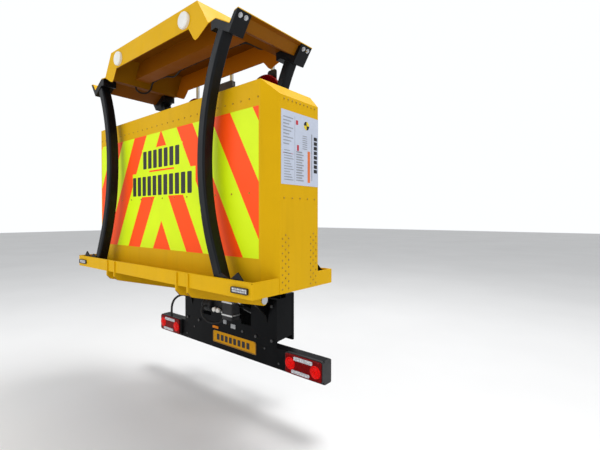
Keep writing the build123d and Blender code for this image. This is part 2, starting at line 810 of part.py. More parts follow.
panel_outer = [
    (panel_flat_half, panel_top),
    (panel_knee_x, panel_knee_z),
    (panel_peak_x, panel_peak_z),
    (panel_valley_x, panel_valley_z),
    (panel_flank_x, panel_flank_z),
    (panel_edge_x, panel_edge_z),
]
panel_under = [(x, z - panel_sheet) for x, z in reversed(panel_outer)]
with BuildPart() as top_panel:
    with BuildSketch(at_y(panel_front)):
        Polygon(*(panel_outer + panel_under + [(-x, z) for x, z in reversed(panel_under)]
                  + [(-x, z) for x, z in reversed(panel_outer)]), align=None)
    extrude(amount=panel_front - panel_rear)
save(top_panel.part, "top_panel")


def skirt_outline(tooth_z):
    """Half outline of an end skirt: under the sheet's slope, then a hanging tooth and a notch."""
    return [
        (panel_flat_half, panel_top - panel_sheet),
        (panel_knee_x, panel_knee_z - panel_sheet),
        (skirt_tooth_x + 24, tooth_z + 6),
        (skirt_tooth_x, tooth_z),
        (skirt_tooth_x - 18, tooth_z + 12),
        (skirt_notch_x, skirt_low),
    ]


skirts = {
    "rear_skirt": (panel_rear + skirt_sheet, rear_tooth_z),
    "front_skirt": (panel_front, front_tooth_z),
}
for name, (face_y, tooth_z) in skirts.items():
    with BuildPart() as skirt:
        with BuildSketch(at_y(face_y)):
            Polygon(*mirrored(skirt_outline(tooth_z)), align=None)
        extrude(amount=skirt_sheet)
    save(skirt.part, name)

with BuildPart() as cross_beam:
    slope = (panel_knee_x - panel_flat_half) / (panel_top - panel_knee_z)
    under_top = panel_top - panel_sheet
    beam_half_low = panel_flat_half + (under_top - beam_low) * slope
    with BuildSketch(at_y(beam_front)):
        Polygon(*mirrored([(panel_flat_half, under_top), (beam_half_low, beam_low)]), align=None)
    extrude(amount=beam_front - beam_rear)
    block(-panel_knee_x, panel_knee_x, beam_rear + beam_wall, beam_front - beam_wall,
          beam_low + beam_wall, panel_top, mode=Mode.SUBTRACT)
save(cross_beam.part, "cross_beam")

with BuildPart() as skid_pads:
    for side in sides:
        with BuildSketch(at_y(panel_rear)):
            with Locations((side * pad_x, pad_z)):
                Circle(pad_r)
        extrude(amount=pad_thick)
    chamfer(skid_pads.faces().sort_by(Axis.Y)[0:2].edges(), 5)
save(skid_pads.part, "skid_pads")

# The cable lies along the foot of the cross beam's front face, sags once between two clips,
# and leaves the beam at both ends to go up into the sloped sheet.
cable_y = beam_front + panel_cable_r + contact
cable_z = beam_low + panel_cable_r
cable_route = [
    (-655, cable_y - 104, 1854), (-651, cable_y - 98, 1829), (-646, cable_y - 66, 1812),
    (-630, cable_y - 18, 1818), (-606, cable_y + 4, 1850), (-584, cable_y + 2, 1887),
    (-545, cable_y, cable_z), (-480, cable_y, cable_z + 1), (-380, cable_y, cable_z), (-320, cable_y, cable_z - 14),
    (-262, cable_y + 2, cable_z - 34), (-205, cable_y + 1, cable_z - 24), (-160, cable_y, cable_z - 2), (-90, cable_y, cable_z),
    (450, cable_y, cable_z), (520, cable_y, cable_z + 1), (562, cable_y + 18, cable_z - 2),
    (580, cable_y + 58, cable_z - 12), (590, cable_y + 108, cable_z - 20), (600, cable_y + 132, cable_z - 15),
    (604, cable_y + 142, cable_z),
]
panel_cable = cord(cable_route, panel_cable_r)
save(panel_cable, "panel_cable")

# ================================================================ tilt cylinders
rest_span = Vector(0, crank_y - cyl_base_y, crank_z - cyl_base_z)
span_length = rest_span.length
along_rod = rest_span.normalized()
swung_y = pivot_y - (crank_z - pivot_z)
swung_z = pivot_z + (crank_y - pivot_y)
tilted_span = Vector(0, swung_y - cyl_base_y, swung_z - cyl_base_z)
swing = math.atan2(tilted_span.Z, tilted_span.Y) - math.atan2(rest_span.Z, rest_span.Y)
print("cylinder spans", span_length, tilted_span.length, "along", along_rod, "swing deg", math.degrees(swing))


def along_cylinder(x, distance):
    """Plane square to the cylinder's axis, at a distance from its base pin."""
    origin = Vector(x, cyl_base_y, cyl_base_z) + along_rod * distance
    return Plane(origin=origin, x_dir=(1, 0, 0), z_dir=along_rod)


for side_name, side in (("left", -1), ("right", 1)):
    x = side * cyl_x
    with BuildPart() as barrel:
        with BuildSketch(along_cylinder(x, 0)):
            Circle(barrel_r)
        extrude(amount=barrel_length)
        with BuildSketch(at_x(x - eye_width / 2)):
            with Locations((cyl_base_y, cyl_base_z)):
                Circle(eye_r)
        extrude(amount=eye_width)
        for cheek in sides:
            block(x + cheek * eye_width / 2, x + cheek * 60, cyl_base_y - 34, cyl_base_y + 60,
                  cyl_base_z - 50, cyl_base_z + 50, mode=Mode.SUBTRACT)
        with BuildSketch(along_cylinder(x, -60)):
            Rectangle(200, 200)
        extrude(amount=60 - eye_r * 0.999, mode=Mode.SUBTRACT)
        with BuildSketch(along_cylinder(x, barrel_floor)):
            Circle(barrel_bore_r)
        extrude(amount=barrel_length - gland_length - barrel_floor, mode=Mode.SUBTRACT)
        with BuildSketch(along_cylinder(x, barrel_floor)):
            Circle(rod_r + fit)
        extrude(amount=barrel_length, mode=Mode.SUBTRACT)
        with BuildSketch(at_x(x - eye_width / 2)):
            with Locations((cyl_base_y, cyl_base_z)):
                Circle(cyl_pin_r + fit)
        extrude(amount=eye_width, mode=Mode.SUBTRACT)
    save(barrel.part, f"{side_name}_cylinder_barrel")

    with BuildPart() as rod:
        with BuildSketch(along_cylinder(x, span_length - rod_to_piston)):
            Circle(barrel_bore_r - fit)
        extrude(amount=piston_length)
        with BuildSketch(along_cylinder(x, span_length - rod_to_piston + piston_length)):
            Circle(rod_r)
        extrude(amount=rod_to_piston - piston_length)
        with BuildSketch(at_x(x - eye_width / 2)):
            with Locations((crank_y, crank_z)):
                Circle(eye_r)
        extrude(amount=eye_width)
        with BuildSketch(at_x(x - eye_width / 2)):
            with Locations((crank_y, crank_z)):
                Circle(cyl_pin_r + fit)
        extrude(amount=eye_width, mode=Mode.SUBTRACT)
    save(rod.part, f"{side_name}_cylinder_rod")

# ================================================================ light arrow board
with BuildPart() as board_panel:
    with BuildSketch(at_y(board_rear + board_sheet)):
        Polygon(*mirrored([(board_half, board_low), (board_half, board_corner_low),
                           (board_corner_half, board_high)]), align=None)
    extrude(amount=board_sheet)
    fillet(board_panel.edges().filter_by(Axis.Y), board_round)
save(board_panel.part, "board_panel")

with BuildPart() as board_rails:
    for rail_low in (rail_low_1, rail_low_2):
        block(-board_half + rail_end_gap, board_half - rail_end_gap, board_rear + board_sheet,
              board_rear + board_sheet + rail_depth, rail_low, rail_low + rail_height)
save(board_rails.part, "board_rails")

with BuildPart() as mast_sliders:
    for rail_low in (rail_low_1, rail_low_2):
        slider_low = rail_low + rail_height / 2 - slider_height / 2
        with BuildSketch(Plane.XY.offset(slider_low)):
            with Locations(*[(x, mast_y) for x in mast_places]):
                RectangleRounded(slider_side, slider_side, 6)
                Circle(mast_r + slider_fit, mode=Mode.SUBTRACT)
        extrude(amount=slider_height)
save(mast_sliders.part, "mast_sliders")

# Fifteen amber lamps draw an arrow that can point either way: a shaft and two heads.
head_steps = [(4, 0), (3, 1), (3, -1), (2, 2), (2, -2)]
amber_spots = [(column, 0) for column in range(-3, 4)]
for column, row in head_steps:
    for side in sides:
        if (side * column, row) not in amber_spots:
            amber_spots.append((side * column, row))
with BuildPart() as amber_lamps:
    with BuildSketch(at_y(board_rear)):
        with Locations(*[(c * amber_pitch_x, amber_row_z + r * amber_pitch_z) for c, r in amber_spots]):
            Circle(amber_r)
    extrude(amount=amber_depth)
save(amber_lamps.part, "amber_lamps")

with BuildPart() as red_lamps:
    with BuildSketch(at_y(board_rear)):
        with Locations(*[(side * red_x, red_z) for side in sides]):
            Circle(red_r)
    extrude(amount=red_depth)
    fillet(red_lamps.faces().sort_by(Axis.Y)[0:2].edges(), 14)
save(red_lamps.part, "red_lamps")

with BuildPart() as control_box:
    block(control_left, control_right, board_rear - control_depth, board_rear, control_low, control_high)
    fillet(control_box.edges().filter_by(Axis.Y), 8)
save(control_box.part, "control_box")
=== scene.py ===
import json
import math

import bmesh
import bpy
from bpy.props import FloatProperty, FloatVectorProperty, PointerProperty
from mathutils import Matrix, Vector


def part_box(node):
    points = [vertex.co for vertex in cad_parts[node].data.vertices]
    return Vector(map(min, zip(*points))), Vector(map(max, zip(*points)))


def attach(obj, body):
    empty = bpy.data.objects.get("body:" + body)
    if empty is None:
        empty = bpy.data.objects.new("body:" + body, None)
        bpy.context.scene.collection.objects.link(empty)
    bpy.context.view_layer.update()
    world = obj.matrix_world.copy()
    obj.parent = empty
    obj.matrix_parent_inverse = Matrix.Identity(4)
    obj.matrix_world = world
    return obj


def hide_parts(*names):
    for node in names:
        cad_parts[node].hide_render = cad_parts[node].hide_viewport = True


bl_info = {
    "name": "Crash Cushion",
    "version": (1, 0, 0),
    "blender": (4, 5, 0),
    "location": "3D View > Sidebar > Cushion",
    "description": "Finishes and details of a tilting crash cushion with a light arrow board",
    "category": "Object",
}

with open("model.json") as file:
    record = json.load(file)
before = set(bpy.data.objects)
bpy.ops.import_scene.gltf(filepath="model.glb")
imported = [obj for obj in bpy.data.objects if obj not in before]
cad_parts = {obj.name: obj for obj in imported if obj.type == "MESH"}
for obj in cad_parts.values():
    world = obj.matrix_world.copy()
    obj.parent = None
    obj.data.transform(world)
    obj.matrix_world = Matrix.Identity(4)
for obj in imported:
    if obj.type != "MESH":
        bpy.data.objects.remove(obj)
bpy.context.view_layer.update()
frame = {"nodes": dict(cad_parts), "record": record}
SIDES = (-1, 1)
FINISHES = {}


# ---------------------------------------------------------------- settings
def tint(name, description, default):
    """A linear colour setting."""
    return FloatVectorProperty(name=name, description=description, subtype="COLOR", size=3, min=0, max=1,
                               default=default)


def length(name, description, default, low=-10.0, high=10.0):
    """A length setting in metres."""
    return FloatProperty(name=name, description=description, default=default, min=low, max=high,
                         unit="LENGTH", subtype="DISTANCE")


class CushionColours(bpy.types.PropertyGroup):
    """Paint, film and plastic colours, linear"""
    paint: tint("Paint", "Golden yellow of the sheet metal", (0.72, 0.41, 0.001))
    black: tint("Black", "Satin black of arms and frame", (0.0045, 0.0045, 0.005))
    film_green: tint("Film Green", "Fluorescent yellow-green film", (0.66, 0.86, 0.0))
    film_orange: tint("Film Orange", "Fluorescent orange-red film", (1.0, 0.075, 0.0))
    lens_red: tint("Lens Red", "Red lamp plastic", (0.2, 0.0006, 0.001))
    lens_amber: tint("Lens Amber", "Amber lamp plastic", (0.85, 0.24, 0.01))
    plate: tint("Number Plate", "Amber of the number plate", (0.6, 0.28, 0.01))


class CushionRivets(bpy.types.PropertyGroup):
    """Rivet heads on the cushion's skin"""
    radius: length("Radius", "Radius of a rivet's head", 0.0062, 0.002, 0.02)
    rise: length("Rise", "Height of the dome above the sheet", 0.0034, 0.0005, 0.01)
    fine_pitch: length("Fine Pitch", "Spacing of the close rows", 0.0335, 0.01, 0.2)
    wide_pitch: length("Wide Pitch", "Spacing of the open rows", 0.067, 0.01, 0.4)
    film_pitch: length("Film Pitch", "Spacing of the row through the rear film", 0.145, 0.01, 0.4)
    top_row: length("Top Row", "Height of the row under the roof", 1.414, 0.5, 1.5)
    mid_row: length("Middle Row", "Height of the row at the middle plate", 0.904, 0.4, 1.4)
    column_pitch: length("Column Pitch", "Spacing within a staggered column", 0.0385, 0.01, 0.2)


class CushionChevrons(bpy.types.PropertyGroup):
    """Stripes of the rear sheet"""
    period: length("Period", "Height of one orange and one green stripe", 0.632, 0.1, 2)
    slope: FloatProperty(name="Slope", description="Fall of a stripe for each metre outwards",
                         default=1.755, min=0.2, max=5)
    centre: length("Centre", "Place of the stripes' peaks across the sheet", -0.014)
    crossing: length("Crossing", "Height where an orange stripe's upper edge crosses the middle", 0.748, -1, 3)
    orange_share: FloatProperty(name="Orange Share", description="Share of the period that is orange",
                                default=0.49, min=0.1, max=0.9, subtype="FACTOR")


class CushionStage(bpy.types.PropertyGroup):
    """Camera, floor and lights"""
    eye: FloatVectorProperty(name="Eye", description="Place of the camera", size=3, unit="LENGTH",
                             subtype="TRANSLATION", default=(2.376, -2.287, 0.776))
    heading: FloatProperty(name="Heading", description="Turn of the view from straight ahead to the left",
                           default=math.radians(40.311), subtype="ANGLE", unit="ROTATION")
    tilt: FloatProperty(name="Tilt", description="Fall of the view below level",
                        default=math.radians(0.775), subtype="ANGLE", unit="ROTATION")
    focal: FloatProperty(name="Focal", description="Focal length on a 36 mm sensor", default=22.712,
                         min=5, max=200)
    shift_x: FloatProperty(name="Shift X", description="Sideways shift of the lens", default=0.01557)
    shift_y: FloatProperty(name="Shift Y", description="Upward shift of the lens", default=-0.00527)
    floor_z: length("Floor", "Height of the ground", -0.7)


class CushionSettings(bpy.types.PropertyGroup):
    """All settings of the cushion"""
    colours: PointerProperty(type=CushionColours)
    rivets: PointerProperty(type=CushionRivets)
    chevrons: PointerProperty(type=CushionChevrons)
    stage: PointerProperty(type=CushionStage)


# ---------------------------------------------------------------- node helpers
def material(name, colour, roughness=0.5, metallic=0.0):
    """A new node material with its constants set on the shader's own sockets."""
    made = bpy.data.materials.new(name)
    made.use_nodes = True
    shader = made.node_tree.nodes["Principled BSDF"]
    shader.inputs["Base Color"].default_value = (*colour, 1)
    shader.inputs["Roughness"].default_value = roughness
    shader.inputs["Metallic"].default_value = metallic
    made.diffuse_color = (*colour, 1)
    return made, made.node_tree, shader


def place(tree, kind, **values):
    """Adds a node; values name its properties or, after an underscore, its inputs."""
    node = tree.nodes.new(kind)
    for key, value in values.items():
        if key.startswith("_"):
            node.inputs[key[1:].replace("_", " ")].default_value = value
        else:
            setattr(node, key, value)
    return node


def noise(tree, scale, detail=4.0, stretch=(1, 1, 1)):
    """Noise in object coordinates, as its factor socket."""
    where = place(tree, "ShaderNodeTexCoord")
    turn = place(tree, "ShaderNodeMapping")
    turn.inputs["Scale"].default_value = stretch
    cloud = place(tree, "ShaderNodeTexNoise", _Scale=scale, _Detail=detail)
    tree.links.new(where.outputs["Object"], turn.inputs["Vector"])
    tree.links.new(turn.outputs["Vector"], cloud.inputs["Vector"])
    return cloud.outputs["Fac"]


def ramp(tree, factor, stops):
    """Colour ramp through (position, colour) stops."""
    node = place(tree, "ShaderNodeValToRGB")
    band = node.color_ramp
    while len(band.elements) < len(stops):
        band.elements.new(0.5)
    for element, (position, colour) in zip(band.elements, stops):
        element.position = position
        element.color = (*colour, 1)
    tree.links.new(factor, node.inputs["Fac"])
    return node.outputs["Color"]


def grey(value):
    return (value, value, value)


def mixed(tree, factor, first, second):
    """Mix of two colours, each a socket or a triple."""
    node = place(tree, "ShaderNodeMix", data_type="RGBA")
    tree.links.new(factor, node.inputs["Factor"])
    for socket, value in ((node.inputs[6], first), (node.inputs[7], second)):
        if isinstance(value, bpy.types.NodeSocket):
            tree.links.new(value, socket)
        else:
            socket.default_value = (*value, 1)
    return node.outputs[2]


def maths(tree, kind, first, second=0.0, third=0.0):
    """One arithmetic node on sockets or numbers."""
    node = place(tree, "ShaderNodeMath", operation=kind)
    for socket, value in zip(node.inputs, (first, second, third)):
        if isinstance(value, bpy.types.NodeSocket):
            tree.links.new(value, socket)
        else:
            socket.default_value = value
    return node.outputs[0]


def bump(tree, shader, height, strength, distance=0.001):
    node = place(tree, "ShaderNodeBump", _Strength=strength, _Distance=distance)
    tree.links.new(height, node.inputs["Height"])
    tree.links.new(node.outputs["Normal"], shader.inputs["Normal"])
    return node


def object_axes(tree):
    """Sockets of the object's x, y and z."""
    where = place(tree, "ShaderNodeTexCoord")
    split = place(tree, "ShaderNodeSeparateXYZ")
    tree.links.new(where.outputs["Object"], split.inputs[0])
    return split.outputs


def scaled(colour, amount):
    return tuple(min(1.0, channel * amount) for channel in colour)


# ---------------------------------------------------------------- mesh helpers
def new_piece(name, mesh_maker, finishes, body, smooth=False, bevel=0.0, segments=2, stands_for=()):
    """Makes one piece from a bmesh, with its finishes by name, and lets it ride on a body."""
    mesh = bpy.data.meshes.new(name)
    shape = bmesh.new()
    mesh_maker(shape)
    shape.to_mesh(mesh)
    shape.free()
    piece = bpy.data.objects.new(name, mesh)
    bpy.context.scene.collection.objects.link(piece)
    names = [finishes] if isinstance(finishes, str) else finishes
    for one in names:
        mesh.materials.append(FINISHES[one])
    if smooth:
        mesh.shade_smooth()
    if bevel:
        edge = piece.modifiers.new("Bevel", "BEVEL")
        edge.width = bevel
        edge.segments = segments
        edge.limit_method = "ANGLE"
        edge.angle_limit = math.radians(35)
        edge.harden_normals = False
    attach(piece, body)
    if stands_for:
        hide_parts(*stands_for)
    return piece


def cuboid(shape, low, high):
    """Adds a block between two corners; returns its vertices."""
    low, high = Vector(low), Vector(high)
    made = bmesh.ops.create_cube(shape, size=1.0)["verts"]
    bmesh.ops.scale(shape, vec=high - low, verts=made)
    bmesh.ops.translate(shape, vec=(low + high) / 2, verts=made)
    return made


def rounded(shape, low, high, axis, radius, segments=3, finish=0):
    """Adds a block whose edges along one axis are rounded; returns its faces."""
    made = cuboid(shape, low, high)
    edges = [edge for edge in {e for vert in made for e in vert.link_edges}
             if abs((edge.verts[0].co - edge.verts[1].co).normalized()[axis]) > 0.9]
    edges.sort(key=lambda edge: tuple(round(value, 6) for value in (edge.verts[0].co + edge.verts[1].co)))
    before = set(shape.faces) - {face for vert in made for face in vert.link_faces}
    bmesh.ops.bevel(shape, geom=edges, offset=radius, offset_type="OFFSET", affect="EDGES",
                    segments=segments, profile=0.5, material=-1, clamp_overlap=True)
    faces = [face for face in shape.faces if face not in before]
    for face in faces:
        face.material_index = finish
    return faces


def turned(shape, centre, direction, profile, steps=32, finish=0):
    """Adds a closed turned shape; the profile is (radius, height) from axis to axis."""
    before = set(shape.verts)
    points = [shape.verts.new((radius, 0, height)) for radius, height in profile]
    edges = [shape.edges.new(pair) for pair in zip(points, points[1:])]
    bmesh.ops.spin(shape, geom=points + edges, cent=(0, 0, 0), axis=(0, 0, 1),
                   angle=math.tau, steps=steps, use_merge=True, use_duplicate=False)
    made = [vert for vert in shape.verts if vert not in before]
    bmesh.ops.remove_doubles(shape, verts=made, dist=1e-6)
    made = [vert for vert in shape.verts if vert not in before]
    faces = list({face for vert in made for face in vert.link_faces})
    bmesh.ops.recalc_face_normals(shape, faces=faces)
    for face in faces:
        face.material_index = finish
    bmesh.ops.transform(shape, matrix=Matrix.Translation(Vector(centre)) @ facing(direction), verts=made)
    return made


def facing(direction):
    """Rotation that turns +Z to a direction."""
    return Vector(direction).to_track_quat("Z", "Y").to_matrix().to_4x4()


def disc(shape, centre, direction, radius, depth, segments=32, top=None):
    """Adds a closed cylinder or cone from a centre along a direction; returns its vertices."""
    made = bmesh.ops.create_cone(shape, cap_ends=True, segments=segments, radius1=radius,
                                 radius2=radius if top is None else top, depth=depth)["verts"]
    turn = Matrix.Translation(Vector(centre)) @ facing(direction) @ Matrix.Translation((0, 0, depth / 2))
    bmesh.ops.transform(shape, matrix=turn, verts=made)
    return made


def dome(shape, centre, direction, radius, rise, segments=12, rings=4):
    """Adds a closed dome whose flat foot is centred on a surface."""
    made = bmesh.ops.create_uvsphere(shape, u_segments=segments, v_segments=rings * 2, radius=radius)["verts"]
    below = [vert for vert in made if vert.co.z < -1e-6]
    bmesh.ops.delete(shape, geom=below, context="VERTS")
    made = [vert for vert in made if vert.is_valid]
    rim = [edge for edge in {e for vert in made for e in vert.link_edges} if edge.is_boundary]
    bmesh.ops.holes_fill(shape, edges=rim)
    bmesh.ops.scale(shape, vec=(1, 1, rise / radius), verts=made)
    turn = Matrix.Translation(Vector(centre)) @ facing(direction)
    bmesh.ops.transform(shape, matrix=turn, verts=made)
    return made


# ---------------------------------------------------------------- finishes
def own_normal(tree):
    """Sockets of the object's own normal."""
    where = place(tree, "ShaderNodeTexCoord")
    split = place(tree, "ShaderNodeSeparateXYZ")
    tree.links.new(where.outputs["Normal"], split.inputs[0])
    return split.outputs


def down_shade_mask(tree):
    """Mask of painted shade: one on faces that look down, and nought on the rest."""
    down = maths(tree, "MULTIPLY_ADD", own_normal(tree)[2], -2.2, -0.35)
    node = place(tree, "ShaderNodeClamp")
    tree.links.new(down, node.inputs[0])
    return node.outputs[0]


def inward(tree, axis, sign):
    """Mask of painted shade: one on faces whose own normal leans to one side of an axis, and nought on the
    rest.
    """
    return maths(tree, "GREATER_THAN", maths(tree, "MULTIPLY", own_normal(tree)[axis], sign), 0.5)


def cells(tree, scale):
    """Distance socket of small cells in object coordinates."""
    node = place(tree, "ShaderNodeTexVoronoi", _Scale=scale)
    where = place(tree, "ShaderNodeTexCoord")
    tree.links.new(where.outputs["Object"], node.inputs["Vector"])
    return node.outputs["Distance"]


def patch(tree, z, spread, middle, half_height, half_width):
    """One inside a rectangle of the rear film, and nought outside."""
    near = maths(tree, "LESS_THAN", maths(tree, "ABSOLUTE", maths(tree, "SUBTRACT", z, middle)), half_height)
    return maths(tree, "MULTIPLY", near, maths(tree, "LESS_THAN", spread, half_width))


def finish_paint(settings, name="yellow_paint", underside_shade=(0.2, 0.065, 0.001), inner=None):
    """Golden sheet paint: slight mottling, rain streaks, painted shade on the faces that look down (and, given
    inner, on faces turned one way) and a fine orange peel.
    """
    colour = tuple(settings.colours.paint)
    made, tree, shader = material(name, colour, roughness=0.5)
    shader.inputs["Specular IOR Level"].default_value = 0.1
    mottle = ramp(tree, noise(tree, 2.2, 5), [(0.3, scaled(colour, 0.94)), (0.7, scaled(colour, 1.04))])
    streak = ramp(tree, noise(tree, 3.0, 6, (6, 6, 0.6)), [(0.52, grey(0)), (0.8, grey(0.3))])
    dusty = mixed(tree, streak, mottle, scaled(colour, 0.78))
    # Painted shade: faces that look down, and with inner the faces turned in, take the dark underside colour
    # in place of real shadow.
    colour_with_painted_shade = mixed(tree, down_shade_mask(tree), dusty, underside_shade)
    if inner:
        colour_with_painted_shade = mixed(tree, inward(tree, *inner), colour_with_painted_shade, underside_shade)
    tree.links.new(colour_with_painted_shade, shader.inputs["Base Color"])
    tree.links.new(ramp(tree, noise(tree, 9, 5), [(0.3, grey(0.42)), (0.7, grey(0.56))]),
                   shader.inputs["Roughness"])
    bump(tree, shader, noise(tree, 420, 2), 0.05, 0.0006)
    return made


def finish_black(settings, name="black_paint", share=1.0, shine=0.2):
    """Satin black paint with a soft blue sheen, scuffs and dust."""
    colour = scaled(tuple(settings.colours.black), share)
    made, tree, shader = material(name, colour, roughness=0.35)
    shader.inputs["Specular IOR Level"].default_value = shine
    shader.inputs["Specular Tint"].default_value = (0.82, 0.9, 1.0, 1)
    dust = ramp(tree, noise(tree, 7, 6), [(0.5, colour), (0.9, scaled(colour, 2.4))])
    tree.links.new(dust, shader.inputs["Base Color"])
    tree.links.new(ramp(tree, noise(tree, 14, 5), [(0.3, grey(0.28)), (0.75, grey(0.46))]),
                   shader.inputs["Roughness"])
    bump(tree, shader, noise(tree, 300, 3), 0.08, 0.0006)
    return made


def finish_plain(name, colour, roughness, spread=0.12, metallic=0.0, scale=12.0, grain=200.0, depth=0.05,
                 shine=0.4):
    """A finish with its own mottling, roughness variation and grain."""
    made, tree, shader = material(name, colour, roughness, metallic)
    shader.inputs["Specular IOR Level"].default_value = shine
    shade = ramp(tree, noise(tree, scale, 5),
                 [(0.3, scaled(colour, 1 - spread)), (0.7, scaled(colour, 1 + spread))])
    tree.links.new(shade, shader.inputs["Base Color"])
    tree.links.new(ramp(tree, noise(tree, scale * 2, 4),
                        [(0.3, grey(max(0.03, roughness - 0.07))), (0.7, grey(min(1, roughness + 0.08)))]),
                   shader.inputs["Roughness"])
    bump(tree, shader, noise(tree, grain, 3), depth, 0.0006)
    return made


def finish_brushed(name, colour, roughness=0.32, stretch=(1, 1, 30)):
    """Metal with fine drawn lines along one axis."""
    made, tree, shader = material(name, colour, roughness, 1.0)
    lines = noise(tree, 60, 6, stretch)
    tree.links.new(ramp(tree, lines, [(0.3, scaled(colour, 0.85)), (0.7, scaled(colour, 1.1))]),
                   shader.inputs["Base Color"])
    tree.links.new(ramp(tree, lines, [(0.3, grey(roughness - 0.08)), (0.7, grey(roughness + 0.12))]),
                   shader.inputs["Roughness"])
    bump(tree, shader, lines, 0.04, 0.0005)
    return made


def finish_chevrons(settings):
    """Fluorescent film in inverted-V stripes, with plain green behind the legend blocks and a faint painted
    glow standing in for the fluorescence.
    """
    stripes = settings.chevrons
    green = tuple(settings.colours.film_green)
    orange = tuple(settings.colours.film_orange)
    made, tree, shader = material("chevron_film", green, roughness=0.42)
    shader.inputs["Specular IOR Level"].default_value = 0.2
    x, _, z = object_axes(tree)
    off = maths(tree, "SUBTRACT", x, stripes.centre)
    spread = maths(tree, "ABSOLUTE", off)
    level = maths(tree, "MULTIPLY_ADD", spread, stripes.slope, z)
    turns = maths(tree, "DIVIDE", maths(tree, "SUBTRACT", stripes.crossing, level), stripes.period)
    part = maths(tree, "FRACT", turns)
    is_orange = maths(tree, "LESS_THAN", part, stripes.orange_share)
    upper = patch(tree, z, spread, 1.187, 0.079, 0.258)
    lower = patch(tree, z, spread, 1.008, 0.088, 0.398)
    legend = maths(tree, "MAXIMUM", upper, lower)
    mask = maths(tree, "MULTIPLY", is_orange, maths(tree, "SUBTRACT", 1.0, legend))
    base = mixed(tree, mask, green, orange)
    wash = ramp(tree, noise(tree, 5, 5), [(0.3, grey(0.93)), (0.7, grey(1.0))])
    faded = place(tree, "ShaderNodeMix", data_type="RGBA", blend_type="MULTIPLY", _Factor=1.0)
    tree.links.new(base, faded.inputs[6])
    tree.links.new(wash, faded.inputs[7])
    tree.links.new(faded.outputs[2], shader.inputs["Base Color"])
    # Painted glow: the film also emits its own colour, so it stays bright whatever light falls on it; this
    # stands in for the real film's fluorescence.
    tree.links.new(faded.outputs[2], shader.inputs["Emission Color"])
    shader.inputs["Emission Strength"].default_value = 0.12
    bump(tree, shader, cells(tree, 260.0), 0.12, 0.0004)
    return made


def finish_lens(name, colour, glow=0.0):
    """Moulded lamp plastic with a fine prism pattern; each prism cell is painted lighter at its middle and
    darker at its rim as painted glint and shade.
    """
    made, tree, shader = material(name, colour, roughness=0.12)
    shader.inputs["Specular IOR Level"].default_value = 0.08
    prism = cells(tree, 90.0)
    # Painted glint and shade: the colour is lighter at each prism cell's middle and darker towards its rim.
    depth = ramp(tree, prism, [(0.0, scaled(colour, 1.35)), (0.6, scaled(colour, 0.7))])
    tree.links.new(depth, shader.inputs["Base Color"])
    tree.links.new(ramp(tree, noise(tree, 30, 3), [(0.3, grey(0.08)), (0.7, grey(0.2))]),
                   shader.inputs["Roughness"])
    if glow:
        shader.inputs["Emission Color"].default_value = (*colour, 1)
        shader.inputs["Emission Strength"].default_value = glow
    bump(tree, shader, prism, 0.25, 0.0008)
    return made


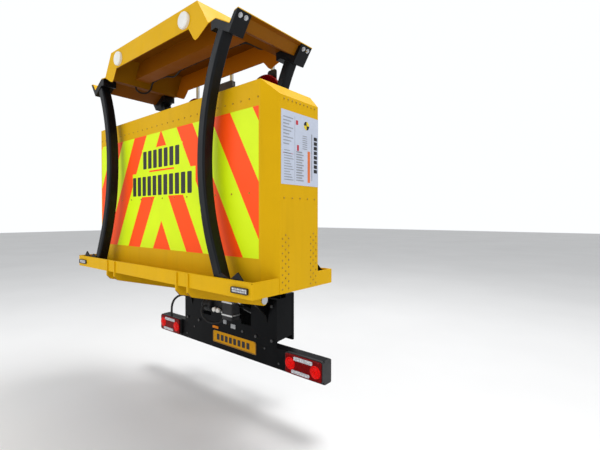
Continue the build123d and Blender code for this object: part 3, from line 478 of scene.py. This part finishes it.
class CUSHION_OT_finishes(bpy.types.Operator):
    """Makes the finishes and gives them to the CAD nodes that stay"""
    bl_idname = "cushion.finishes"
    bl_label = "Finishes"

    def execute(self, context):
        settings = context.scene.cushion
        red = tuple(settings.colours.lens_red)
        made = {
            # Every paint from finish_paint carries painted shade on its down-facing faces.
            "yellow_paint": finish_paint(settings),
            "yellow_skin": finish_paint(settings, "yellow_skin"),
            "black_paint": finish_black(settings),
            "frame_black": finish_black(settings, "frame_black", 0.5, 0.08),
            # The beam and skirt paints carry a deeper painted shade, also on the faces turned in under the top
            # panel.
            "beam_shaded_paint": finish_paint(settings, "beam_shaded_paint", (0.3, 0.092, 0.002), (1, -1)),
            "rear_inner_shaded": finish_paint(settings, "rear_inner_shaded", (0.3, 0.092, 0.002), (1, 1)),
            "front_inner_shaded": finish_paint(settings, "front_inner_shaded", (0.48, 0.14, 0.002), (1, -1)),
            "pin_steel": finish_brushed("pin_steel", (0.55, 0.56, 0.58)),
            "rod_chrome": finish_brushed("rod_chrome", (0.75, 0.76, 0.78), 0.14),
            "mast_steel": finish_plain("mast_steel", (0.5, 0.52, 0.53), 0.45, metallic=0.8, scale=25),
            "bush_bronze": finish_plain("bush_bronze", (0.4, 0.25, 0.1), 0.4, metallic=0.9),
            "cell_aluminium": finish_brushed("cell_aluminium", (0.7, 0.71, 0.72)),
            "chevron_film": finish_chevrons(settings),
            "label_film": finish_plain("label_film", (0.55, 0.6, 0.72), 0.4, 0.04),
            "white_nylon": finish_plain("white_nylon", (0.78, 0.78, 0.74), 0.35, 0.06),
            "black_plastic": finish_plain("black_plastic", (0.012, 0.012, 0.013), 0.5, 0.3),
            "red_lens": finish_lens("red_lens", red),
            "clear_lens": finish_lens("clear_lens", (0.62, 0.64, 0.68)),
            "amber_lens": finish_lens("amber_lens", tuple(settings.colours.lens_amber)),
            "plate_amber": finish_plain("plate_amber", tuple(settings.colours.plate), 0.45, 0.05, shine=0.03),
            "tank_grey": finish_plain("tank_grey", (0.03, 0.03, 0.032), 0.55, 0.2, shine=0.2),
            "motor_black": finish_plain("motor_black", (0.012, 0.012, 0.013), 0.5, 0.3, shine=0.2),
            "hose_rubber": finish_plain("hose_rubber", (0.012, 0.012, 0.012), 0.7, 0.3, grain=500, depth=0.15),
            "board_black": finish_plain("board_black", (0.012, 0.012, 0.014), 0.62, 0.2),
            "rivet_paint": finish_plain("rivet_paint", (0.42, 0.24, 0.003), 0.5, 0.15),
            "film_orange_mark": finish_plain("film_orange_mark", (0.75, 0.17, 0.04), 0.45, 0.1),
            "mark_grey": finish_plain("mark_grey", (0.3, 0.32, 0.36), 0.5, 0.2),
            "mark_red": finish_plain("mark_red", (0.5, 0.03, 0.05), 0.5, 0.1),
            "mark_yellow": finish_plain("mark_yellow", (0.8, 0.62, 0.02), 0.5, 0.1),
            "lamp_gap": finish_plain("lamp_gap", (0.13, 0.115, 0.11), 0.3, 0.3, scale=90),
            "led_white": finish_lens("led_white", (0.72, 0.74, 0.8)),
            "red_bright": finish_lens("red_bright", (0.7, 0.003, 0.002), 0.2),
            "bolt_zinc": finish_plain("bolt_zinc", (0.6, 0.6, 0.6), 0.35, metallic=0.9, scale=40),
            "bolt_dark": finish_plain("bolt_dark", (0.07, 0.07, 0.072), 0.45, metallic=0.6, scale=40),
            "tank_light": finish_plain("tank_light", (0.32, 0.33, 0.34), 0.4, 0.15, metallic=0.4),
            "box_grey": finish_plain("box_grey", (0.085, 0.07, 0.055), 0.5, 0.2),
        }
        FINISHES.update(made)
        slots = {part["node"]: part["material_slot"] for part in frame["record"]["subparts"]}
        # The skirts and the cross beam take the paints with the deeper painted shade.
        special = {"rear_skirt": "rear_inner_shaded", "front_skirt": "front_inner_shaded", "cross_beam": "beam_shaded_paint",
                   "frame_bolts": "bolt_dark"}
        arms = ("rear_left_arm", "rear_right_arm", "front_left_arm", "front_right_arm", "foot_brackets",
                "saddle_brackets")
        special.update({node: "frame_black" for node, slot in slots.items()
                        if slot == "black_paint" and node not in arms})
        for node, piece in frame["nodes"].items():
            piece.data.materials.clear()
            piece.data.materials.append(made[special.get(node, slots[node])])
        return {"FINISHED"}


# ---------------------------------------------------------------- stage
class CUSHION_OT_stage(bpy.types.Operator):
    """Sets the camera, the pale floor and the soft studio light"""
    bl_idname = "cushion.stage"
    bl_label = "Stage"

    def execute(self, context):
        stage = context.scene.cushion.stage
        lens = bpy.data.cameras.new("camera")
        lens.sensor_width = 36.0
        lens.lens = stage.focal
        lens.shift_x = stage.shift_x
        lens.shift_y = stage.shift_y
        lens.clip_end = 200
        eye = bpy.data.objects.new("camera", lens)
        eye.location = stage.eye
        eye.rotation_euler = (math.pi / 2 - stage.tilt, 0, stage.heading)
        context.scene.collection.objects.link(eye)
        context.scene.camera = eye

        ground, tree, shader = material("ground", (0.86, 0.86, 0.86), roughness=0.75)
        tree.links.new(ramp(tree, noise(tree, 0.6, 4), [(0.3, grey(0.84)), (0.7, grey(0.88))]),
                       shader.inputs["Base Color"])
        mesh = bpy.data.meshes.new("floor")
        shape = bmesh.new()
        bmesh.ops.create_grid(shape, x_segments=1, y_segments=1, size=40)
        bmesh.ops.translate(shape, vec=(0, 0, stage.floor_z), verts=shape.verts)
        shape.to_mesh(mesh)
        shape.free()
        mesh.materials.append(ground)
        floor = bpy.data.objects.new("floor", mesh)
        context.scene.collection.objects.link(floor)

        world = bpy.data.worlds.new("soft_white")
        world.use_nodes = True
        sky = world.node_tree.nodes["Background"]
        sky.inputs["Color"].default_value = (0.97, 0.985, 1.0, 1)
        tree = world.node_tree
        seen = place(tree, "ShaderNodeLightPath").outputs["Is Camera Ray"]
        tree.links.new(maths(tree, "MULTIPLY_ADD", seen, 0.42, 0.6), sky.inputs["Strength"])
        context.scene.world = world
        context.scene.view_settings.view_transform = "Standard"
        lamps = {
            "overhead": ((1.6, 0.9, 6.5), (0, -0.6, 1.0), 3.0, 330),
            "left_key": ((-3.5, -6.0, 3.2), (0, -0.6, 0.8), 4.0, 100),
            "right_fill": ((6.0, -3.0, 3.0), (0, -0.6, 0.8), 4.0, 60),
            "low_front": ((-1.0, -6.0, 0.3), (0, -0.9, 0.5), 3.0, 45),
        }
        for name, (spot, target, size, power) in lamps.items():
            light = bpy.data.lights.new(name, "AREA")
            light.size = size
            light.energy = power
            lamp = bpy.data.objects.new(name, light)
            lamp.location = spot
            lamp.rotation_euler = (Vector(target) - Vector(spot)).to_track_quat("-Z", "Y").to_euler()
            context.scene.collection.objects.link(lamp)
        return {"FINISHED"}


# ---------------------------------------------------------------- rivets
class CUSHION_OT_rivets(bpy.types.Operator):
    """Sets the rows and staggered columns of rivets on the cushion's skin"""
    bl_idname = "cushion.rivets"
    bl_label = "Rivets"

    def execute(self, context):
        rivets = context.scene.cushion.rivets
        rear_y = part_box("box_rear_sheet")[0].y
        film_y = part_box("chevron_sheet")[0].y
        front_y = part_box("box_front_sheet")[1].y
        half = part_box("box_right_sheet")[1].x
        side_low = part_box("box_right_sheet")[0].y
        side_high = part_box("box_right_sheet")[1].y
        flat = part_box("chevron_sheet")[1].x

        def row(shape, start, step, count, out):
            for index in range(count):
                spot = Vector(start) + Vector(step) * index
                dome(shape, spot, out, rivets.radius, rivets.rise, 8, 2)

        def centred(shape, y, z, pitch, out):
            count = int(2 * flat / pitch) // 2 * 2 + 1
            row(shape, (-(count - 1) / 2 * pitch, y, z), (pitch, 0, 0), count, out)

        def rear(shape):
            centred(shape, rear_y, rivets.top_row, rivets.wide_pitch, (0, -1, 0))

        def film(shape):
            centred(shape, film_y, rivets.mid_row, rivets.film_pitch, (0, -1, 0))

        def front(shape):
            centred(shape, front_y, rivets.top_row, rivets.wide_pitch, (0, 1, 0))
            centred(shape, front_y, rivets.mid_row, rivets.wide_pitch, (0, 1, 0))

        def side_face(shape, side):
            x = side * half
            out = (side, 0, 0)
            count = int((side_high - side_low) / rivets.fine_pitch)
            start = (side_low + side_high) / 2 - (count - 1) / 2 * rivets.fine_pitch
            row(shape, (x, start, rivets.top_row - 0.012), (0, rivets.fine_pitch, 0), count, out)
            row(shape, (x, start, rivets.mid_row - 0.027), (0, rivets.wide_pitch, 0), (count + 1) // 2, out)
            for middle in (side_low + 0.045, side_high - 0.044):
                for column, lift in ((-0.025, 0), (0, rivets.column_pitch / 2), (0.025, 0)):
                    row(shape, (x, middle + column, 0.39 + lift), (0, 0, rivets.column_pitch), 8, out)

        new_piece("rear_rivets", rear, "rivet_paint", "cushion", smooth=True)
        new_piece("film_rivets", film, "rivet_paint", "cushion", smooth=True)
        new_piece("front_rivets", front, "rivet_paint", "cushion", smooth=True)
        for name, side in (("left_rivets", -1), ("right_rivets", 1)):
            new_piece(name, lambda shape, side=side: side_face(shape, side), "rivet_paint", "cushion",
                      smooth=True)
        return {"FINISHED"}


# ---------------------------------------------------------------- films
class CUSHION_OT_films(bpy.types.Operator):
    """Lays the plain legend blocks on the rear film and the plain marks on the side label"""
    bl_idname = "cushion.films"
    bl_label = "Films"

    def execute(self, context):
        film_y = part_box("chevron_sheet")[0].y
        label_low, label_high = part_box("side_label")

        def legend(shape):
            rows = ((7, -0.262, 0.222, 1.122, 1.25), (11, -0.415, 0.36, 0.928, 1.068))
            for count, left, right, low, high in rows:
                pitch = (right - left) / count
                for index in range(count):
                    start = left + index * pitch
                    rounded(shape, (start + 0.1 * pitch, film_y - 0.0006, low),
                            (start + 0.78 * pitch, film_y, high), 1, 0.006, 2)

        new_piece("legend_blocks", legend, "black_plastic", "cushion")

        across = label_high.y - label_low.y
        tall = label_high.z - label_low.z
        face = label_high.x

        def mark(shape, y0, y1, z0, z1, finish):
            rounded(shape, (face, label_low.y + y0 * across, label_low.z + z0 * tall),
                    (face + 0.0005, label_low.y + y1 * across, label_low.z + z1 * tall), 0, 0.0015, 1, finish)

        def marks(shape):
            for line in range(9):
                mark(shape, 0.05, 0.3 - 0.05 * (line % 3), 0.9 - line * 0.045, 0.915 - line * 0.045, 0)
            for line in range(12):
                mark(shape, 0.38, 0.58 - 0.04 * (line % 2), 0.06 + line * 0.036, 0.078 + line * 0.036, 0)
                mark(shape, 0.07, 0.31 - 0.03 * (line % 4), 0.06 + line * 0.036, 0.07 + line * 0.036, 0)
            for line in range(7):
                mark(shape, 0.55, 0.68, 0.52 + line * 0.03, 0.53 + line * 0.03, 0)
            mark(shape, 0.69, 0.76, 0.05, 0.5, 1)
            mark(shape, 0.37, 0.43, 0.84, 0.9, 2)
            mark(shape, 0.4, 0.45, 0.48, 0.56, 2)
            for line in range(8):
                mark(shape, 0.87, 0.965, 0.2 + line * 0.068, 0.25 + line * 0.068, 3)
            mark(shape, 0.8, 0.82, 0.08, 0.76, 0)
            mark(shape, 0.04, 0.3, 0.42, 0.425, 2)
            mark(shape, 0.34, 0.345, 0.04, 0.95, 0)

        new_piece("label_marks", marks, ("mark_grey", "film_orange_mark", "mark_red", "black_plastic"),
                  "cushion")

        def target(shape):
            spot = (face, label_low.y + 0.66 * across, label_low.z + 0.86 * tall)
            made = turned(shape, spot, (1, 0, 0), [(0, 0), (0.024, 0), (0.024, 0.0006), (0, 0.0006)], 24)
            for one in {f for vert in made for f in vert.link_faces}:
                middle = one.calc_center_median() - Vector(spot)
                one.material_index = int((middle.y * middle.z) > 0)

        new_piece("label_target", target, ("black_plastic", "mark_yellow"), "cushion")
        return {"FINISHED"}


# ---------------------------------------------------------------- deck
class CUSHION_OT_deck(bpy.types.Operator):
    """Adds the rolled hems of the deck's lip and of the skirts, and the lamps in the lip"""
    bl_idname = "cushion.deck"
    bl_label = "Deck"

    def execute(self, context):
        low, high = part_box("deck_tray")
        rear = low.y
        front = high.y
        half = high.x
        top = high.z

        def hems(shape):
            roll = 0.0042
            run = front - rear
            disc(shape, (-half, rear + roll, top), (1, 0, 0), roll, 2 * half, 10)
            disc(shape, (-half, front - roll, top), (1, 0, 0), roll, 2 * half, 10)
            for side in SIDES:
                disc(shape, (side * (half - roll), rear, top), (0, 1, 0), roll, run, 10)

        new_piece("deck_hems", hems, "yellow_skin", "cushion", smooth=True)

        def skirt_hems(shape):
            for name, sign in (("rear_skirt", -1), ("front_skirt", 1)):
                skirt_low, skirt_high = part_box(name)
                y = skirt_low.y if sign < 0 else skirt_high.y
                disc(shape, (-0.459, y, 1.8845), (1, 0, 0), 0.003, 0.918, 10)

        new_piece("skirt_hems", skirt_hems, "yellow_skin", "cushion", smooth=True)

        def welds(shape):
            box_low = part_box("box_rear_sheet")[0]
            for index in range(13):
                start = -0.9 + index * 0.145
                disc(shape, (start, box_low.y - 0.001, box_low.z + 0.001), (1, 0, 0), 0.0045, 0.075, 8)

        new_piece("deck_welds", welds, "yellow_skin", "cushion", smooth=True)

        lamp_low, lamp_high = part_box("deck_lamps")
        lamp_width = 0.122
        recess = 0.004
        columns, lines = 9, 2
        inner = lamp_high.x - lamp_width

        def bezels(shape):
            for side in SIDES:
                x0, x1 = sorted((side * inner, side * lamp_high.x))
                faces = rounded(shape, (x0, lamp_low.y, lamp_low.z), (x1, lamp_high.y, lamp_high.z),
                                1, 0.006, 3)
                front_face = min(faces, key=lambda face: face.calc_center_median().y)
                bmesh.ops.inset_region(shape, faces=[front_face], thickness=0.0022, use_even_offset=True)
                bmesh.ops.translate(shape, verts=list(front_face.verts), vec=(0, recess, 0))
                front_face.material_index = 1
                for column in range(columns):
                    for line in range(lines):
                        spot = (x0 + 0.012 + column * (x1 - x0 - 0.024) / (columns - 1), lamp_low.y + 0.005,
                                lamp_low.z + 0.0105 + line * 0.0115)
                        for vert in dome(shape, spot, (0, -1, 0), 0.0058, 0.0038, 10, 2):
                            for face in vert.link_faces:
                                face.material_index = 2

        new_piece("lip_lamps", bezels, ("black_plastic", "lamp_gap", "led_white"), "cushion",
                  stands_for=("deck_lamps",))
        return {"FINISHED"}


# ---------------------------------------------------------------- skid pads and saddles
class CUSHION_OT_panel_fittings(bpy.types.Operator):
    """Adds the round skid pads, the cable's clips and the bolts of the foot brackets"""
    bl_idname = "cushion.panel_fittings"
    bl_label = "Panel Fittings"

    def execute(self, context):
        pad_low, pad_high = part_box("skid_pads")
        radius = (pad_high.z - pad_low.z) / 2
        middle = (pad_high.z + pad_low.z) / 2

        def pads(shape):
            for side in SIDES:
                spot = (side * (pad_high.x - radius), pad_high.y, middle)
                thick = pad_high.y - pad_low.y
                turned(shape, spot, (0, -1, 0), [
                    (0, 0), (radius, 0), (radius, thick * 0.66), (radius - 0.003, thick * 0.86),
                    (radius - 0.008, thick), (0.0, thick)], 48)

        new_piece("round_pads", pads, "white_nylon", "cushion", smooth=False, stands_for=("skid_pads",))

        def clips(shape):
            cable_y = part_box("cross_beam")[1].y
            for x in (-0.52, -0.39, -0.13, 0.03, 0.2, 0.37, 0.51):
                rounded(shape, (x - 0.009, cable_y, 1.896), (x + 0.009, cable_y + 0.0125, 1.9145), 0, 0.004, 2)

        new_piece("cable_clips", clips, "black_plastic", "cushion")

        def foot_bolts(shape):
            foot_low, foot_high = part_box("foot_brackets")
            for side in SIDES:
                for y, out in ((foot_low.y, -1), (foot_high.y, 1)):
                    for x, z in ((0.905, 0.424), (0.765, 0.424)):
                        disc(shape, (side * x, y, z), (0, out, 0), 0.0085, 0.005, 6)

        new_piece("foot_bolts", foot_bolts, "bolt_zinc", "cushion")
        return {"FINISHED"}


# ---------------------------------------------------------------- underrun bar
class CUSHION_OT_bar_lamps(bpy.types.Operator):
    """Builds the tail lamps' moulded lenses, the number plate with plain bars and the small screws"""
    bl_idname = "cushion.bar_lamps"
    bl_label = "Bar Lamps"

    def execute(self, context):
        low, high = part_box("tail_lamp_lenses")
        middle_z = (low.z + high.z) / 2
        outer = high.x
        inner = outer - 0.308
        back = high.y

        def lenses(shape):
            for side in SIDES:
                x0, x1 = sorted((side * inner, side * outer))
                faces = rounded(shape, (x0, low.y + 0.005, low.z), (x1, back, high.z), 1, 0.012, 4)
                face = min(faces, key=lambda one: one.calc_center_median().y)
                bmesh.ops.inset_region(shape, faces=[face], thickness=0.005, use_even_offset=True)
                bmesh.ops.translate(shape, verts=list(face.verts), vec=(0, -0.002, 0))
                centre = (x0 + x1) / 2
                for offset, lift in ((-0.108, 0.004), (0.108, -0.004)):
                    turned(shape, (centre + offset, low.y + 0.004, middle_z + lift), (0, -1, 0), [
                        (0, 0), (0.043, 0), (0.043, 0.003), (0.036, 0.006), (0.03, 0.0045),
                        (0.021, 0.0085), (0.008, 0.0105), (0, 0.0108)], 28, 1)

        def strips(shape):
            for side in SIDES:
                centre = side * (inner + outer) / 2
                for z0, z1, x0, x1 in ((high.z - 0.034, high.z - 0.009, -0.075, 0.085),
                                       (low.z + 0.009, low.z + 0.032, -0.095, 0.06)):
                    rounded(shape, (centre + x0, low.y - 0.0015, z0), (centre + x1, low.y + 0.006, z1),
                            1, 0.008, 3)

        new_piece("tail_lenses", lenses, ("red_lens", "red_bright"), "mount_frame", bevel=0.0012,
                  stands_for=("tail_lamp_lenses",))
        new_piece("tail_strips", strips, "clear_lens", "mount_frame", bevel=0.001)

        plate_low, plate_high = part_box("number_plate")

        def plate(shape):
            made = cuboid(shape, plate_low, plate_high)
            corners = [edge for edge in {e for vert in made for e in vert.link_edges}
                       if abs((edge.verts[0].co - edge.verts[1].co).normalized().y) > 0.9]
            upper = [edge for edge in corners if edge.verts[0].co.z > (plate_low.z + plate_high.z) / 2]
            lower = [edge for edge in corners if edge not in upper]
            upper.sort(key=lambda edge: edge.verts[0].co.x)
            lower.sort(key=lambda edge: edge.verts[0].co.x)
            bmesh.ops.bevel(shape, geom=upper, offset=0.018, offset_type="OFFSET", affect="EDGES",
                            segments=1, profile=0.5, material=-1, clamp_overlap=True)
            bmesh.ops.bevel(shape, geom=[edge for edge in lower if edge.is_valid], offset=0.007,
                            offset_type="OFFSET", affect="EDGES", segments=3, profile=0.5, material=-1,
                            clamp_overlap=True)
            face = min(shape.faces, key=lambda one: one.calc_center_median().y)
            bmesh.ops.inset_region(shape, faces=[face], thickness=0.003, use_even_offset=True)
            ring = bmesh.ops.inset_region(shape, faces=[face], thickness=0.0035, use_even_offset=True)["faces"]
            for one in ring:
                one.material_index = 1
            bmesh.ops.inset_region(shape, faces=[face], thickness=0.002, use_even_offset=True)
            bmesh.ops.translate(shape, verts=list(face.verts), vec=(0, 0.0006, 0))

        new_piece("amber_plate", plate, ("plate_amber", "black_plastic"), "mount_frame",
                  stands_for=("number_plate",))

        def bars(shape):
            wide = plate_high.x - plate_low.x
            for index in range(8):
                start = plate_low.x + 0.1 * wide + index * 0.1 * wide
                rounded(shape, (start, plate_low.y - 0.0006, plate_low.z + 0.024),
                        (start + 0.065 * wide, plate_low.y + 0.001, plate_high.z - 0.03), 1, 0.005, 2)

        new_piece("plate_bars", bars, "black_plastic", "mount_frame")

        def screws(shape):
            bar_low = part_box("underrun_bar")[0]
            for x, z in ((0.42, -0.2), (0.56, -0.28), (-0.45, -0.2), (-0.56, -0.28), (0.93, -0.2)):
                turned(shape, (x, bar_low.y, z), (0, -1, 0),
                       [(0, 0), (0.008, 0), (0.008, 0.003), (0.005, 0.005), (0, 0.005)], 12)
            turned(shape, (0.2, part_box("back_plate")[0].y, -0.112), (0, -1, 0),
                   [(0, 0), (0.011, 0), (0.011, 0.004), (0.006, 0.007), (0, 0.007)], 12)

        new_piece("bar_screws", screws, "bolt_dark", "mount_frame")

        def marker(shape):
            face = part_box("back_plate")[0].y
            rounded(shape, (-0.16, face - 0.006, -0.148), (-0.09, face, -0.128), 1, 0.004, 3)

        new_piece("amber_marker", marker, "amber_lens", "mount_frame")
        return {"FINISHED"}


# ---------------------------------------------------------------- hydraulics
class CUSHION_OT_hydraulics(bpy.types.Operator):
    """Adds bands, coils, fittings, caps, a neck, straps and data plates to the pump, valve block, tank and
    back plate
    """
    bl_idname = "cushion.hydraulics"
    bl_label = "Hydraulics"

    def execute(self, context):
        motor_low, motor_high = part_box("pump_motor")
        motor = (motor_low + motor_high) / 2
        motor_r = (motor_high.z - motor_low.z) / 2

        def bands(shape):
            for x in (motor_low.x + 0.012, motor_high.x - 0.022):
                turned(shape, (x, motor.y, motor.z), (1, 0, 0),
                       [(0, 0), (motor_r + 0.0025, 0), (motor_r + 0.0035, 0.002), (motor_r + 0.0035, 0.008),
                        (motor_r + 0.0025, 0.01), (0, 0.01)], 40)
            for y, z in ((0.028, 0.03), (-0.03, 0.02), (0.0, -0.036)):
                disc(shape, (motor_low.x + 0.0005, motor.y + y, motor.z + z), (-1, 0, 0), 0.006, 0.005, 6)

        new_piece("motor_bands", bands, "tank_grey", "mount_frame")

        block_low, block_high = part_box("valve_block")

        def coils(shape):
            for x in (block_low.x + 0.028, block_high.x - 0.028):
                turned(shape, (x, block_low.y + 0.028, block_high.z), (0, 0, 1),
                       [(0, 0), (0.017, 0), (0.019, 0.003), (0.019, 0.034), (0.016, 0.038), (0, 0.038)], 28)

        new_piece("valve_coils", coils, "black_plastic", "mount_frame")

        def unions(shape):
            for x in (block_low.x + 0.028, block_high.x - 0.028):
                disc(shape, (x, block_low.y + 0.028, block_high.z + 0.038), (0, 0, 1), 0.0085, 0.009, 6)
            for z in (block_low.z + 0.022, block_high.z - 0.014):
                turned(shape, (block_high.x, block_low.y + 0.03, z), (1, 0, 0),
                       [(0, 0), (0.011, 0), (0.011, 0.008), (0.007, 0.01), (0.007, 0.018), (0, 0.018)], 16)
            for x in (-0.045, 0.042):
                disc(shape, (x, block_low.y, block_low.z + 0.018), (0, -1, 0), 0.009, 0.006, 6)

        new_piece("valve_unions", unions, "bolt_zinc", "mount_frame")

        cap_low, cap_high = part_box("filler_caps")
        cap_r = (cap_high.z - cap_low.z) / 2
        cap_z = (cap_high.z + cap_low.z) / 2

        def caps(shape):
            deep = cap_high.y - cap_low.y
            for x in (cap_low.x + cap_r, cap_high.x - cap_r):
                turned(shape, (x, cap_high.y, cap_z), (0, -1, 0),
                       [(0, 0), (cap_r * 0.8, 0), (cap_r * 0.8, deep * 0.3), (cap_r, deep * 0.36),
                        (cap_r, deep * 0.82), (cap_r * 0.86, deep * 0.96), (cap_r * 0.4, deep), (0, deep)], 24)

        new_piece("white_caps", caps, "white_nylon", "mount_frame", smooth=True, stands_for=("filler_caps",))

        tank_low, tank_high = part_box("hydraulic_tank")

        def neck(shape):
            spot = ((tank_low.x + tank_high.x) / 2, (tank_low.y + tank_high.y) / 2, tank_high.z)
            turned(shape, spot, (0, 0, 1),
                   [(0, 0), (0.02, 0), (0.02, 0.006), (0.026, 0.008), (0.026, 0.02), (0.022, 0.023),
                    (0, 0.023)], 24)

        def straps(shape):
            for z in (tank_low.z + 0.03, tank_high.z - 0.04):
                rounded(shape, (tank_low.x - 0.002, tank_low.y - 0.002, z),
                        (tank_high.x + 0.002, tank_high.y, z + 0.012), 2, 0.006, 3)

        new_piece("tank_neck", neck, "black_plastic", "mount_frame", smooth=False)
        new_piece("tank_straps", straps, "bolt_zinc", "mount_frame")

        def plates(shape):
            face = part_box("back_plate")[0].y
            rounded(shape, (-0.028, face - 0.003, -0.092), (0.012, face, -0.06), 1, 0.003, 2)
            rounded(shape, (0.065, face - 0.003, -0.112), (0.12, face, -0.078), 1, 0.003, 2)

        new_piece("data_plates", plates, "tank_light", "mount_frame")
        return {"FINISHED"}


# ---------------------------------------------------------------- light arrow board
class CUSHION_OT_board_lamps(bpy.types.Operator):
    """Builds the amber lamps, the two red lamps and the control box's lid and glands"""
    bl_idname = "cushion.board_lamps"
    bl_label = "Board Lamps"

    def execute(self, context):
        low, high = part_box("amber_lamps")
        radius = 0.06
        pitch = (high.x - low.x - 2 * radius) / 8
        row_z = (high.z + low.z) / 2
        rise = (high.z - low.z - 2 * radius) / 4
        back = high.y

        spots = [(column, 0) for column in range(-4, 5)]
        spots += [(side * column, row) for side in SIDES for column, row in ((3, 1), (3, -1), (2, 2), (2, -2))]

        def rims(shape):
            for column, row in spots:
                spot = (column * pitch, back, row_z + row * rise)
                turned(shape, spot, (0, -1, 0), [
                    (0, 0), (radius, 0), (radius, 0.014), (radius - 0.003, 0.016), (radius - 0.007, 0.016),
                    (radius - 0.008, 0.009), (0, 0.009)], 32, 0)

        def lenses(shape):
            for column, row in spots:
                spot = (column * pitch, back - 0.0085, row_z + row * rise)
                turned(shape, spot, (0, -1, 0), [
                    (0, 0), (radius - 0.0085, 0), (radius - 0.01, 0.003), (0.038, 0.0045), (0.034, 0.0035),
                    (0.02, 0.0065), (0.008, 0.0075), (0, 0.0078)], 32, 0)

        new_piece("amber_rims", rims, "black_plastic", "arrow_board", stands_for=("amber_lamps",))
        new_piece("amber_domes", lenses, "amber_lens", "arrow_board", smooth=True)

        red_low, red_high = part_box("red_lamps")
        red_r = (red_high.z - red_low.z) / 2
        red_z = (red_high.z + red_low.z) / 2
        deep = red_high.y - red_low.y

        def red(shape):
            for side in SIDES:
                spot = (side * (red_high.x - red_r), red_high.y, red_z)
                turned(shape, spot, (0, -1, 0), [
                    (0, 0), (red_r, 0), (red_r, deep * 0.6), (red_r - 0.006, deep * 0.78),
                    (red_r - 0.02, deep * 0.8), (red_r - 0.022, deep * 0.7), (red_r - 0.05, deep * 0.86), (red_r - 0.054, deep * 0.8),
                    (red_r - 0.1, deep * 0.95), (red_r - 0.104, deep * 0.9), (0.012, deep), (0, deep)], 64)

        new_piece("red_warning_lamps", red, "red_lens", "arrow_board", smooth=False, stands_for=("red_lamps",))

        box_low, box_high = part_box("control_box")

        def lid(shape):
            rounded(shape, (box_low.x - 0.002, box_low.y - 0.003, box_low.z - 0.002),
                    (box_high.x + 0.002, box_low.y + 0.012, box_high.z + 0.002), 1, 0.01, 4)
            for z in (box_low.z + 0.035, box_high.z - 0.035):
                rounded(shape, (box_high.x - 0.004, box_low.y - 0.004, z - 0.012),
                        (box_high.x + 0.008, box_low.y + 0.016, z + 0.012), 1, 0.003, 2)
            for x in (box_low.x + 0.05, box_high.x - 0.05):
                turned(shape, (x, (box_low.y + box_high.y) / 2 + 0.004, box_low.z), (0, 0, -1),
                       [(0, 0), (0.011, 0), (0.011, 0.006), (0.008, 0.008), (0.008, 0.02), (0, 0.02)], 16)

        new_piece("control_lid", lid, "box_grey", "arrow_board", bevel=0.0008)

        def relay(shape):
            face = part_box("board_panel")[1].y
            rounded(shape, (0.448, face, 1.6), (0.535, face + 0.006, 1.838), 1, 0.018, 4)

        new_piece("lamp_bracket", relay, "black_plastic", "arrow_board")
        return {"FINISHED"}


class CUSHION_PT_panel(bpy.types.Panel):
    """Sidebar panel with the steps in order"""
    bl_idname = "CUSHION_PT_panel"
    bl_label = "Crash Cushion"
    bl_space_type = "VIEW_3D"
    bl_region_type = "UI"
    bl_category = "Cushion"

    def draw(self, context):
        for step in STEPS:
            self.layout.operator(step.bl_idname)


STEPS = (
    CUSHION_OT_stage,
    CUSHION_OT_finishes,
    CUSHION_OT_rivets,
    CUSHION_OT_films,
    CUSHION_OT_deck,
    CUSHION_OT_panel_fittings,
    CUSHION_OT_bar_lamps,
    CUSHION_OT_hydraulics,
    CUSHION_OT_board_lamps,
)
CLASSES = (CushionColours, CushionRivets, CushionChevrons, CushionStage, CushionSettings,
           *STEPS, CUSHION_PT_panel)


def register():
    for one in CLASSES:
        bpy.utils.register_class(one)
    bpy.types.Scene.cushion = PointerProperty(type=CushionSettings)


def unregister():
    del bpy.types.Scene.cushion
    for one in reversed(CLASSES):
        bpy.utils.unregister_class(one)


def main():
    register()
    for step in STEPS:
        group, action = step.bl_idname.split(".")
        getattr(getattr(bpy.ops, group), action)()


if __name__ == "__main__":
    main()
